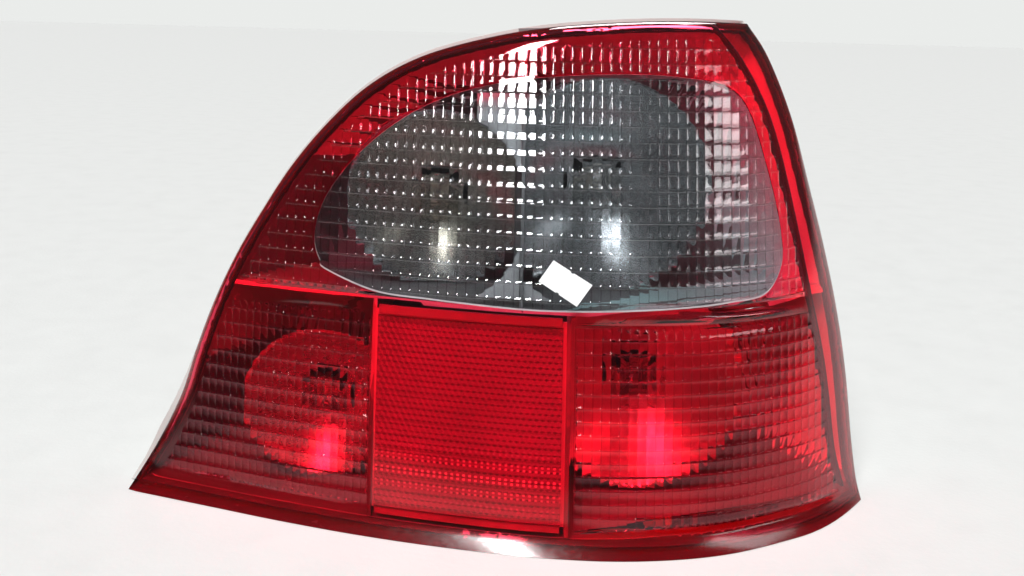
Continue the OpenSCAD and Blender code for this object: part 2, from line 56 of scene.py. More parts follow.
# ---------------------------------------------------------------- camera
cam_data = bpy.data.cameras.new("camera")
cam = bpy.data.objects.new("camera", cam_data)
bpy.context.scene.collection.objects.link(cam)
cam_data.lens, cam_data.sensor_width = 36.09, 36.0
cam_data.clip_start, cam_data.clip_end = 0.01, 50
X_AXIS, DOWN, AHEAD = (0.99956, -0.01401, 0.02614), (0.02179, -0.25119, -0.96769), (0.02012, 0.96784, -0.25078)
at = (np.array([183.08, -486.82, 236.0]) - ORG) / 1000
cam.matrix_world = Matrix(((X_AXIS[0], -DOWN[0], -AHEAD[0], at[0]), (X_AXIS[1], -DOWN[1], -AHEAD[1], at[1]),
                           (X_AXIS[2], -DOWN[2], -AHEAD[2], at[2]), (0, 0, 0, 1)))
bpy.context.scene.camera = cam

# ---------------------------------------------------------------- the lamp's curves, as in the frame (millimetres)
O_LT = [[0, 0], [15, 25], [26, 48], [33.5, 72], [42.5, 96], [53.5, 119], [66.5, 141], [81, 163],
        [98.5, 184], [119, 203], [143, 217], [172, 226.5], [206, 233.5], [246, 237.3], [280, 238.6], [312, 238.3]]
O_R = [[312, 238.3], [324, 222], [337.5, 190], [347, 158], [356, 127], [364, 95], [369.8, 62], [373.5, 28], [378, 0]]
O_B = [[378, 0], [336, 0], [294, 0], [252, 0], [210, 0], [168, 0], [126, 0], [84, 0], [42, 0], [0, 0]]
W_ALL = [[102, 117], [99, 121], [97, 125], [96, 129.5], [96, 135], [97.5, 142.5], [101, 151], [107.5, 161],
         [117, 172], [130, 183.5], [147, 194.5], [169, 203.5], [198, 209.8], [235, 213], [265, 213], [289, 210],
         [301, 204.5], [308, 195], [313, 182], [317.5, 168], [321.5, 154], [324.5, 139], [324.5, 125], [315, 112.5],
         [296, 110], [275, 108.5], [252, 107.4], [228, 106.5], [203, 106], [178, 106.6], [153, 107.6], [127, 109.2]]
FULL = [0.1, 0.4, 0.8, 1, 1, 1, 1, 1, 1, 1, 1, 1, 1, 1, 1, 0.8, 0.6, 0.5, 0.5, 0.5, 0.5, 0.4, 0.3, 0.1, 0, 0, 0, 0, 0, 0, 0, 0, 0]
PLAN = [2, -13.5, -29, -42.5, -53, -60.5, -62, -54.5, -35, -11]
SIDE = [378, 372.5, 367, 358, 346.5, 334, 310.5]
LENS_T, SKIRT, RIM_W, RIM_D, LIP_D, LIP_H, BACK_Y = 2.8, 12.0, 8.0, 6.0, 5.0, 12.0, 76.0


def spline(v, t):
    """Catmull-Rom run through v, a scalar or a point at each whole t, ends extended."""
    v = np.asarray(v, float)
    p = np.concatenate([[2 * v[0] - v[1]], v, [2 * v[-1] - v[-2]]])
    t = np.asarray(t, float)
    i = np.clip(np.floor(t).astype(int), 0, len(v) - 2)
    f = t - i
    if v.ndim > 1:
        f = f[..., None]
    a, b, c, d = p[i], p[i + 1], p[i + 2], p[i + 3]
    return 0.5 * (2 * b + (c - a) * f + (2 * a - 5 * b + 4 * c - d) * f ** 2 + (3 * b - a - 3 * c + d) * f ** 3)


def face(x, z):
    x, z = np.asarray(x, float), np.maximum(np.asarray(z, float), 0)
    y = spline(PLAN, x / 42) + 0.26 * z + 0.0004 * z * z
    y = y + 16 * np.maximum(0, 1 - (spline(SIDE, z / 40) - x) / 45) ** 2
    return y - LIP_D * np.maximum(0, 1 - z / LIP_H) ** 2


def run(v, n):
    return spline(v, np.arange((len(v) - 1) * n) / n)


def closed(v, n):
    v = np.asarray(v, float)
    e = np.concatenate([v[-2:], v, v[:3]])
    return spline(e, 2 + np.arange(len(v) * n) / n)


N_SPAN = 8
OUT = np.concatenate([run(O_LT, N_SPAN), run(O_R, N_SPAN), run(O_B, N_SPAN)])
OUT_FULL = np.interp(np.arange(len(OUT)) / N_SPAN, np.arange(len(FULL)), FULL)
WIN = closed(W_ALL, N_SPAN)


def metres(p):
    return (np.asarray(p, float) - ORG) / 1000


def near(p, loop, closed_loop=True):
    """Distance of each point to a line of points, and the place along it."""
    p = np.asarray(p, float)
    a = loop if closed_loop else loop[:-1]
    b = np.roll(loop, -1, 0) if closed_loop else loop[1:]
    d = b - a
    ll = (d ** 2).sum(1)
    best, where = np.full(len(p), 1e9), np.zeros(len(p))
    for s in range(0, len(p), 4000):
        q = p[s:s + 4000]
        t = np.clip(((q[:, None] - a[None]) * d[None]).sum(2) / ll, 0, 1)
        r = np.linalg.norm(q[:, None] - (a[None] + t[..., None] * d[None]), axis=2)
        k = r.argmin(1)
        best[s:s + 4000] = r[np.arange(len(q)), k]
        where[s:s + 4000] = k + t[np.arange(len(q)), k]
    return best, where


def within(p, loop):
    p = np.asarray(p, float)
    x, z = p[:, 0], p[:, 1]
    inside = np.zeros(len(p), bool)
    a, b = loop, np.roll(loop, -1, 0)
    for (x1, z1), (x2, z2) in zip(a, b):
        if z1 == z2:
            continue
        hit = (z1 > z) != (z2 > z)
        inside ^= hit & (x < (x2 - x1) * (z - z1) / (z2 - z1) + x1)
    return inside


def inset_points(loop, d):
    """The points d in from a closed run, those that fold over at its corners left out, and each point's partner."""
    a, c = np.roll(loop, 1, 0), np.roll(loop, -1, 0)

    def inward(p, q):
        u = (q - p) / np.linalg.norm(q - p, axis=1)[:, None]
        return np.stack([u[:, 1], -u[:, 0]], 1)
    n1, n2 = inward(a, loop), inward(loop, c)
    dot = (n1 * n2).sum(1)
    q = loop + (n1 + n2) * d / (1 + dot)[:, None]
    dist, _ = near(q, loop)
    good = (dist > d * 0.985) & (within(q, loop) | (d < 0.02))
    for i in np.where(~good)[0]:
        k = np.arange(len(loop))
        gap = np.abs(k - i)
        gap = np.minimum(gap, len(loop) - gap)
        gap = np.where(good, gap, 9999)
        q[i] = q[gap.argmin()]
    return q, good


def build(name, verts, faces, mats, slots=None, smooth=True, sharp=None, angle=None):
    me = bpy.data.meshes.new(name)
    me.from_pydata([tuple(v) for v in verts], [], [tuple(f) for f in faces])
    me.update()
    for m in mats:
        me.materials.append(m)
    if slots is not None:
        me.polygons.foreach_set("material_index", np.asarray(slots, np.int32))
    me.polygons.foreach_set("use_smooth", np.full(len(me.polygons), smooth))
    if angle is not None:
        mark_angle(me, angle)
    if sharp is not None:
        co = np.zeros(len(me.edges) * 2, np.int32)
        me.edges.foreach_get("vertices", co)
        flags = sharp(co.reshape(-1, 2))
        a = me.attributes.get("sharp_edge") or me.attributes.new("sharp_edge", "BOOLEAN", "EDGE")
        old = np.zeros(len(me.edges), bool)
        a.data.foreach_get("value", old)
        a.data.foreach_set("value", old | flags)
    me.validate()
    o = bpy.data.objects.new(name, me)
    bpy.context.scene.collection.objects.link(o)
    return o


def mark_angle(me, degrees):
    """Marks edges sharper than an angle, so that rounded faces shade as one."""
    n_e = len(me.edges)
    le = np.zeros(len(me.loops), np.int32)
    me.loops.foreach_get("edge_index", le)
    start = np.zeros(len(me.polygons), np.int32)
    total = np.zeros(len(me.polygons), np.int32)
    normal = np.zeros(len(me.polygons) * 3, np.float32)
    me.polygons.foreach_get("loop_start", start)
    me.polygons.foreach_get("loop_total", total)
    me.polygons.foreach_get("normal", normal)
    normal = normal.reshape(-1, 3)
    poly = np.repeat(np.arange(len(start)), total)
    order = np.argsort(le, kind="stable")
    le, poly = le[order], poly[order]
    first = np.searchsorted(le, np.arange(n_e))
    count = np.bincount(le, minlength=n_e)
    flags = count != 2
    two = np.where(count == 2)[0]
    dot = (normal[poly[first[two]]] * normal[poly[first[two] + 1]]).sum(1)
    flags[two] = dot < math.cos(math.radians(degrees))
    a = me.attributes.get("sharp_edge") or me.attributes.new("sharp_edge", "BOOLEAN", "EDGE")
    a.data.foreach_set("value", flags)


# ---------------------------------------------------------------- materials
def tree(name):
    m = bpy.data.materials.new(name)
    m.use_nodes = True
    nt = m.node_tree
    b = nt.nodes["Principled BSDF"]
    return m, nt, b


def add(nt, kind, **values):
    n = nt.nodes.new(kind)
    for k, v in values.items():
        if hasattr(n, k):
            setattr(n, k, v)
        else:
            n.inputs[k].default_value = v
    return n


def place_nodes(nt):
    return add(nt, "ShaderNodeTexCoord").outputs["Object"]


def noise(nt, co, scale, detail=3.0, rough=0.55):
    n = add(nt, "ShaderNodeTexNoise")
    n.inputs["Scale"].default_value, n.inputs["Detail"].default_value, n.inputs["Roughness"].default_value = scale, detail, rough
    nt.links.new(co, n.inputs["Vector"])
    return n.outputs["Fac"]


def ramp(nt, fac, stops):
    n = add(nt, "ShaderNodeValToRGB")
    e = n.color_ramp.elements
    while len(e) < len(stops):
        e.new(0.5)
    for k, (p, c) in enumerate(stops):
        e[k].position = p
        e[k].color = (*c, 1) if isinstance(c, tuple) else (c, c, c, 1)
    nt.links.new(fac, n.inputs[0])
    return n.outputs[0]


def spread(nt, fac, lo, hi, a=0.3, b=0.7):
    n = add(nt, "ShaderNodeMapRange")
    n.inputs["From Min"].default_value, n.inputs["From Max"].default_value = a, b
    n.inputs["To Min"].default_value, n.inputs["To Max"].default_value = lo, hi
    nt.links.new(fac, n.inputs["Value"])
    return n.outputs[0]


def bump(nt, height, distance, strength=1.0, after=None):
    n = add(nt, "ShaderNodeBump")
    n.inputs["Distance"].default_value, n.inputs["Strength"].default_value = distance, strength
    nt.links.new(height, n.inputs["Height"])
    if after is not None:
        nt.links.new(after, n.inputs["Normal"])
    return n.outputs[0]


def math_node(nt, op, a, b=None):
    n = add(nt, "ShaderNodeMath", operation=op)
    for k, v in enumerate((a, b)):
        if v is None:
            continue
        if isinstance(v, (int, float)):
            n.inputs[k].default_value = v
        else:
            nt.links.new(v, n.inputs[k])
    return n.outputs[0]


def plastic(name, colour, rough=0.45, grain=0.00012, grain_scale=900, tone=0.12):
    """Moulded plastic: a fine even grain, slow changes of tone, and rubbed patches."""
    m, nt, b = tree(name)
    co = place_nodes(nt)
    slow = noise(nt, co, 26, 4)
    fine = noise(nt, co, grain_scale, 2)
    c = np.array(colour)
    col = ramp(nt, slow, [(0.25, tuple(c * (1 - tone))), (0.5, tuple(c)), (0.78, tuple(np.minimum(1, c * (1 + tone * 0.6))))])
    nt.links.new(col, b.inputs["Base Color"])
    nt.links.new(spread(nt, noise(nt, co, 60, 5, 0.7), rough - 0.08, rough + 0.1), b.inputs["Roughness"])
    nt.links.new(bump(nt, fine, grain, 0.7), b.inputs["Normal"])
    return m


def metal(name, colour, rough=0.28, scale=(40, 40, 40), grain=0.00003, tarnish=0.25):
    m, nt, b = tree(name)
    co = place_nodes(nt)
    mapping = add(nt, "ShaderNodeMapping")
    mapping.inputs["Scale"].default_value = scale
    nt.links.new(co, mapping.inputs["Vector"])
    streak = noise(nt, mapping.outputs[0], 14, 6, 0.65)
    slow = noise(nt, co, 45, 3)
    c = np.array(colour)
    nt.links.new(ramp(nt, slow, [(0.3, tuple(c * (1 - tarnish))), (0.6, tuple(c))]), b.inputs["Base Color"])
    b.inputs["Metallic"].default_value = 1.0
    nt.links.new(spread(nt, streak, rough - 0.08, rough + 0.14), b.inputs["Roughness"])
    nt.links.new(bump(nt, streak, grain, 0.6), b.inputs["Normal"])
    return m


def lens_material(name, tint, dark, cell=None, phase=(0.0, 0.0), haze=0.0, shine=1.0, rough=(0.0, 0.05)):
    """Moulded acrylic. The wall is clear and tinted; a thin film of dust and fine rub marks lies on it. Where the
    inside has optics, their relief shows as a second shine under the smooth front, and the tint is darkened along the
    cell seams as painted shade."""
    m, nt, b = tree(name)
    co = place_nodes(nt)
    slow = noise(nt, co, 18, 3)
    body = ramp(nt, slow, [(0.3, dark), (0.65, tint)])
    nt.links.new(body, b.inputs["Base Color"])
    b.inputs["IOR"].default_value = 1.49
    b.inputs["Transmission Weight"].default_value = 1.0 - haze
    if name.startswith("red_lens") and cell:
        b.inputs["Specular Tint"].default_value = (1.0, 0.5, 0.55, 1.0)
    rub = noise(nt, co, 420, 6, 0.75)
    nt.links.new(spread(nt, rub, *rough, 0.45, 0.75), b.inputs["Roughness"])
    if cell:
        b.inputs["Coat Weight"].default_value = shine
        b.inputs["Coat IOR"].default_value = 1.5
        b.inputs["Coat Roughness"].default_value = 0.045
        sep = add(nt, "ShaderNodeSeparateXYZ")
        nt.links.new(co, sep.inputs[0])
        broad, steep, seam = None, None, None
        side = 0.00012 if name.startswith("smoke") else 0.00030
        for axis, pitch, shift, low, high in ((0, cell[0], phase[0], 0.00005, side), (2, cell[1], phase[1], 0.00016, 0.0007)):
            u = math_node(nt, "ADD", math_node(nt, "MULTIPLY", sep.outputs[axis], 1 / pitch), -shift / pitch + 1000)
            f = math_node(nt, "SUBTRACT", math_node(nt, "MULTIPLY", math_node(nt, "FRACT", u), 2.0), 1.0)
            f2 = math_node(nt, "MULTIPLY", f, f)
            up, down = (4, 4) if axis == 0 else (20, 4)
            crown = math_node(nt, "ADD", math_node(nt, "POWER", math_node(nt, "MAXIMUM", f, 0.0), float(up)),
                              math_node(nt, "POWER", math_node(nt, "MAXIMUM", math_node(nt, "MULTIPLY", f, -1.0), 0.0), float(down)))
            h1, h2 = math_node(nt, "MULTIPLY", f2, low * 1000), math_node(nt, "MULTIPLY", crown, high * 1000)
            broad = h1 if broad is None else math_node(nt, "ADD", broad, h1)
            steep = h2 if steep is None else math_node(nt, "ADD", steep, h2)
            # Painted shade: near each cell seam the tint is mixed towards a darker tint, so the seams show as dark
            # lines.
            seam_shade_amount = math_node(nt, "POWER", f2, 6.0)
            seam = seam_shade_amount if seam is None else math_node(nt, "MAXIMUM", seam, seam_shade_amount)
        shade = add(nt, "ShaderNodeMix", data_type="RGBA", blend_type="MIX")
        nt.links.new(math_node(nt, "MULTIPLY", seam, 0.55 if name == "red_lens_upper" else 0.75), shade.inputs[0])
        nt.links.new(body, shade.inputs[6])
        shade.inputs[7].default_value = (*[c * c * 0.25 for c in tint], 1)
        nt.links.new(shade.outputs[2], b.inputs["Base Color"])
        nt.links.new(bump(nt, broad, 0.001), b.inputs["Normal"])
        nt.links.new(bump(nt, steep, 0.001), b.inputs["Coat Normal"])
    let_lamps_through(nt, b, tint)
    return m


def let_lamps_through(nt, b, tint):
    """Lamps light what lies behind the clear wall, tinted by it."""
    path = add(nt, "ShaderNodeLightPath")
    clear = add(nt, "ShaderNodeBsdfTransparent")
    clear.inputs["Color"].default_value = (*[math.sqrt(min(1.0, c + (0.06 if c < 0.2 else 0.0))) for c in tint], 1)
    mix = add(nt, "ShaderNodeMixShader")
    nt.links.new(path.outputs["Is Shadow Ray"], mix.inputs[0])
    nt.links.new(b.outputs[0], mix.inputs[1])
    nt.links.new(clear.outputs[0], mix.inputs[2])
    nt.links.new(mix.outputs[0], nt.nodes["Material Output"].inputs["Surface"])


RED, RED_D = (0.93, 0.058, 0.115), (0.86, 0.044, 0.096)
SMOKE, SMOKE_D = (0.372, 0.388, 0.40), (0.325, 0.34, 0.352)
# pitch of the pillow optics [x, z] by region, and where their lattice starts, in millimetres
CELL = {"upper": ((4.5, 7.2), (0.0, 2.2)), "left": ((3.8, 7.0), (1.0, 3.0)), "right": ((4.2, 6.0), (0.0, 4.0))}


SHINE = {"red_lensupper": 0.6, "red_lensleft": 0.25, "red_lensright": 0.22, "smoke_lensupper": 1.0, "smoke_lensleft": 1.0, "smoke_lensright": 1.0}


def painted_glint_rows(m):
    """Rows of small white dots in pairs on the reflex panel's front, painted highlights for its glints, brightest along
    the row at z 28.8 and towards the right, with a darker line painted between the rows.
    """
    nt = m.node_tree
    b = nt.nodes["Principled BSDF"]
    sep = add(nt, "ShaderNodeSeparateXYZ")
    nt.links.new(place_nodes(nt), sep.inputs[0])
    x = math_node(nt, "ADD", math_node(nt, "MULTIPLY", sep.outputs[0], 1000.0), ORG[0])
    z = math_node(nt, "MULTIPLY", sep.outputs[2], 1000.0)
    fx = math_node(nt, "ABSOLUTE", math_node(nt, "SUBTRACT", math_node(nt, "FRACT", math_node(nt, "MULTIPLY", x, 1 / 2.8)), 0.5))
    fz = math_node(nt, "ABSOLUTE", math_node(nt, "SUBTRACT", math_node(nt, "FRACT", math_node(nt, "MULTIPLY", z, 1 / 6.4)), 0.5))
    row = math_node(nt, "ABSOLUTE", math_node(nt, "SUBTRACT", fz, 0.14))
    dot = math_node(nt, "MULTIPLY", spread(nt, fx, 1.0, 0.0, 0.17, 0.27), spread(nt, row, 1.0, 0.0, 0.06, 0.10))
    away = math_node(nt, "ABSOLUTE", math_node(nt, "SUBTRACT", z, 28.8))
    near_row = spread(nt, away, 1.0, 0.12, 1.0, 17.0)
    glint_amount = math_node(nt, "MULTIPLY", math_node(nt, "MULTIPLY", dot, near_row), spread(nt, x, 0.72, 1.0, 140.0, 210.0))
    line = math_node(nt, "MULTIPLY", spread(nt, fz, 0.0, 0.55, 0.42, 0.47), spread(nt, away, 1.0, 0.35, 10.0, 40.0))
    old = b.inputs["Base Color"].links[0].from_socket
    # A darker line painted between the rows, then the painted highlight dots, under which the wall is made less clear.
    for factor, tone in ((line, (0.20, 0.03, 0.05, 1)), (glint_amount, (1.0, 0.95, 0.95, 1))):
        mix = add(nt, "ShaderNodeMix", data_type="RGBA", blend_type="MIX")
        nt.links.new(factor, mix.inputs[0])
        nt.links.new(old, mix.inputs[6])
        mix.inputs[7].default_value = tone
        old = mix.outputs[2]
    nt.links.new(old, b.inputs["Base Color"])
    full = b.inputs["Transmission Weight"].default_value
    nt.links.new(math_node(nt, "SUBTRACT", full, math_node(nt, "MULTIPLY", glint_amount, full * 0.95)), b.inputs["Transmission Weight"])
    return m


def lens_set(label, tint, dark):
    mats = [lens_material(label + "_plain", tint, dark)]
    for key in ("upper", "left", "right"):
        (px, pz), (sx, sz) = CELL[key]
        mats.append(lens_material(f"{label}_{key}", tint, dark, (px / 1000, pz / 1000),
                                  ((sx - ORG[0]) / 1000, (sz - ORG[2]) / 1000), shine=SHINE[label + key]))
    return mats


red_mats = lens_set("red_lens", RED, RED_D)
smoke_mats = lens_set("smoke_lens", SMOKE, SMOKE_D)
# Painted shade: the skirt's back end face is an opaque dark red that stands for the shade where the skirt meets the
# housing.
skirt_end_shade_mat = plastic("weld_shade", (0.34, 0.008, 0.016), 0.5, 0.0001, 900, 0.3)
skirt_mat = plastic("skirt_red", (0.44, 0.010, 0.026), 0.16, 0.00003, 500, 0.15)
# Painted shade: a darker copy of the skirt's red for its lowest edges, next to the floor.
skirt_bottom_shade_mat = plastic("skirt_red_bottom_shade", (0.13, 0.008, 0.018), 0.2, 0.00003, 500, 0.15)
red_mats += [skirt_end_shade_mat, skirt_mat, skirt_bottom_shade_mat, lens_material("red_lens_lip", RED, RED_D, rough=(0.14, 0.22))]
smoke_mats.append(plastic("joint_line", (0.82, 0.70, 0.71), 0.45, 0.00003, 900, 0.1))

# ---------------------------------------------------------------- the lens
DARK_LINE = spline([[290, 236], [305, 219], [318, 196], [326, 173], [333, 146], [342, 108], [349, 80], [353, 58], [357, 31], [364, 10]],
                   np.arange(0, 9.01, 0.125))
LEFT_IN, LEFT_OK = inset_points(OUT, 8.8)


def region_loops():
    """The outlines of the fields of optics on the inside of the lens."""
    n_lt = (len(O_LT) - 1) * N_SPAN
    lt = LEFT_IN[:n_lt][LEFT_OK[:n_lt]]
    line = DARK_LINE + np.array([-2.6, 0])
    up = lt[(lt[:, 1] > 105.6) & (lt[:, 0] < 288)]
    rt = line[line[:, 1] > 105.6]
    upper = np.concatenate([up, rt[rt[:, 1] < 228]])
    low = lt[(lt[:, 1] > 10.5) & (lt[:, 1] < 100.4)]
    left = np.concatenate([low, [[126.2, 100.4], [126.2, 10.5]]])
    rr = line[(line[:, 1] < 100.6) & (line[:, 1] > 9)]
    right = np.concatenate([[[222.4, 9], [222.4, 100.6]], rr])
    return {"upper": upper, "left": left, "right": right}


REGIONS = region_loops()
WIN_OUT, _ = inset_points(WIN, -1.3)
WIN_IN, _ = inset_points(WIN, 1.2)


def optics(p, window):
    """How far the inner face is cut back by the pillows at each point, and which field it lies in (0 is none)."""
    cut, field = np.zeros(len(p)), np.zeros(len(p), int)
    for k, key in enumerate(("upper", "left", "right"), 1):
        (px, pz), (sx, sz) = CELL[key]
        if window:
            if key != "upper":
                continue
            inside = within(p, WIN_IN)
            d, _ = near(p, WIN_IN)
        else:
            inside = within(p, REGIONS[key])
            d, _ = near(p, REGIONS[key])
            if key == "upper":
                inside &= ~within(p, WIN_OUT)
                d = np.minimum(d, near(p, WIN_OUT)[0])
        u = 2 * np.mod((p[:, 0] - sx) / px, 1) - 1
        w = 2 * np.mod((p[:, 1] - sz) / pz, 1) - 1
        h = (0.27 * u * u + 0.26 * w * w) * np.clip(d / 0.8, 0, 1)
        cut = np.where(inside, h, cut)
        field = np.where(inside, k, field)
    return cut, field


def lattice(loop, key, hole=None, margin=0.7, nx=4, nz=4):
    """Points on the pillows' lattice within a loop."""
    (px, pz), (sx, sz) = CELL[key]
    lo, hi = loop.min(0), loop.max(0)
    ix = np.arange(math.floor((lo[0] - sx) / px * nx), math.ceil((hi[0] - sx) / px * nx) + 1)
    iz = np.arange(math.floor((lo[1] - sz) / pz * nz), math.ceil((hi[1] - sz) / pz * nz) + 1)
    g = np.stack(np.meshgrid(sx + ix * px / nx, sz + iz * pz / nz), -1).reshape(-1, 2)
    g = g[within(g, loop)]
    g = g[near(g, loop)[0] > margin]
    if hole is not None:
        g = g[~within(g, hole)]
        g = g[near(g, hole)[0] > margin]
    return g


def grid(loop, step, margin, holes=()):
    lo, hi = loop.min(0), loop.max(0)
    g = np.stack(np.meshgrid(np.arange(lo[0] + step / 2, hi[0], step), np.arange(lo[1] + step / 2, hi[1], step)), -1).reshape(-1, 2)
    g = g[within(g, loop)]
    g = g[near(g, loop)[0] > margin]
    for h in holes:
        g = g[~within(g, h)]
        if len(g):
            g = g[near(g, h)[0] > margin]
    return g


def thin(loop, step):
    """Drops points of a closed loop that lie nearer than step to the last one kept."""
    keep = [loop[0]]
    for q in loop[1:]:
        if np.linalg.norm(q - keep[-1]) >= step:
            keep.append(q)
    if len(keep) > 2 and np.linalg.norm(keep[-1] - keep[0]) < step * 0.7:
        keep.pop()
    return np.array(keep)


def triangulate(loops, points, inside, holes=()):
    """A Delaunay mesh of points with closed loops kept as edges. Returns vertices, triangles and each loop's vertex numbers."""
    verts, edges, starts = [], [], []
    for lp in loops:
        s = len(verts)
        starts.append(s)
        verts += [Vector(q) for q in lp]
        edges += [(s + k, s + (k + 1) % len(lp)) for k in range(len(lp))]
    n_loop = len(verts)
    verts += [Vector(q) for q in points]
    v, _, tri, ov, _, _ = delaunay_2d_cdt(verts, edges, [], 0, 1e-5)
    v = np.array([[q[0], q[1]] for q in v])
    tri = np.array([t for t in tri if len(t) == 3])
    c = v[tri].mean(1)
    keep = within(c, inside)
    for h in holes:
        keep &= ~within(c, h)
    tri = tri[keep]
    new_of = {}
    for k, olds in enumerate(ov):
        for q in olds:
            if q < n_loop:
                new_of[q] = k
    index = [[new_of[s + k] for k in range(len(lp))] for s, lp in zip(starts, loops)]
    # every triangle runs anticlockwise on [x, z]
    a, b, cc = v[tri[:, 0]], v[tri[:, 1]], v[tri[:, 2]]
    area = (b[:, 0] - a[:, 0]) * (cc[:, 1] - a[:, 1]) - (b[:, 1] - a[:, 1]) * (cc[:, 0] - a[:, 0])
    tri = tri[np.abs(area) > 1e-9]
    area = area[np.abs(area) > 1e-9]
    tri[area < 0] = tri[area < 0][:, ::-1]
    return v, tri, index


def rolled(p, inner):
    d, where = near(p, OUT)
    f = np.interp(where, np.arange(len(OUT) + 1), np.append(OUT_FULL, OUT_FULL[0]))
    if inner:
        t = np.clip((RIM_W - d) / (RIM_W - 2.4), 0, 1)
    else:
        t = np.clip((RIM_W - d) / RIM_W, 0, 1)
    return RIM_D * (1 - np.sqrt(np.maximum(0, 1 - t ** 2))) * f


def crease_test(v, offset, fields):
    """Marks the edges that lie on the pillows' cell lines."""
    def line(k):
        out = []
        for axis in (0, 1):
            g = np.full(len(v), -1, int)
            for j, key in enumerate(("upper", "left", "right"), 1):
                pitch, start = CELL[key][0][axis], CELL[key][1][axis]
                r = (v[:, axis] - start) / pitch
                on = (np.abs(r - np.round(r)) * pitch < 0.004) & (fields == j)
                g = np.where(on, np.round(r).astype(int) + 1000 * j, g)
            out.append(g)
        return out
    gx, gz = line(None)

    def flags(e):
        a, b = e[:, 0] - offset, e[:, 1] - offset
        ok = (a >= 0) & (b >= 0) & (a < len(v)) & (b < len(v))
        a, b = np.clip(a, 0, len(v) - 1), np.clip(b, 0, len(v) - 1)
        return ok & (((gx[a] == gx[b]) & (gx[a] >= 0)) | ((gz[a] == gz[b]) & (gz[a] >= 0)))
    return flags


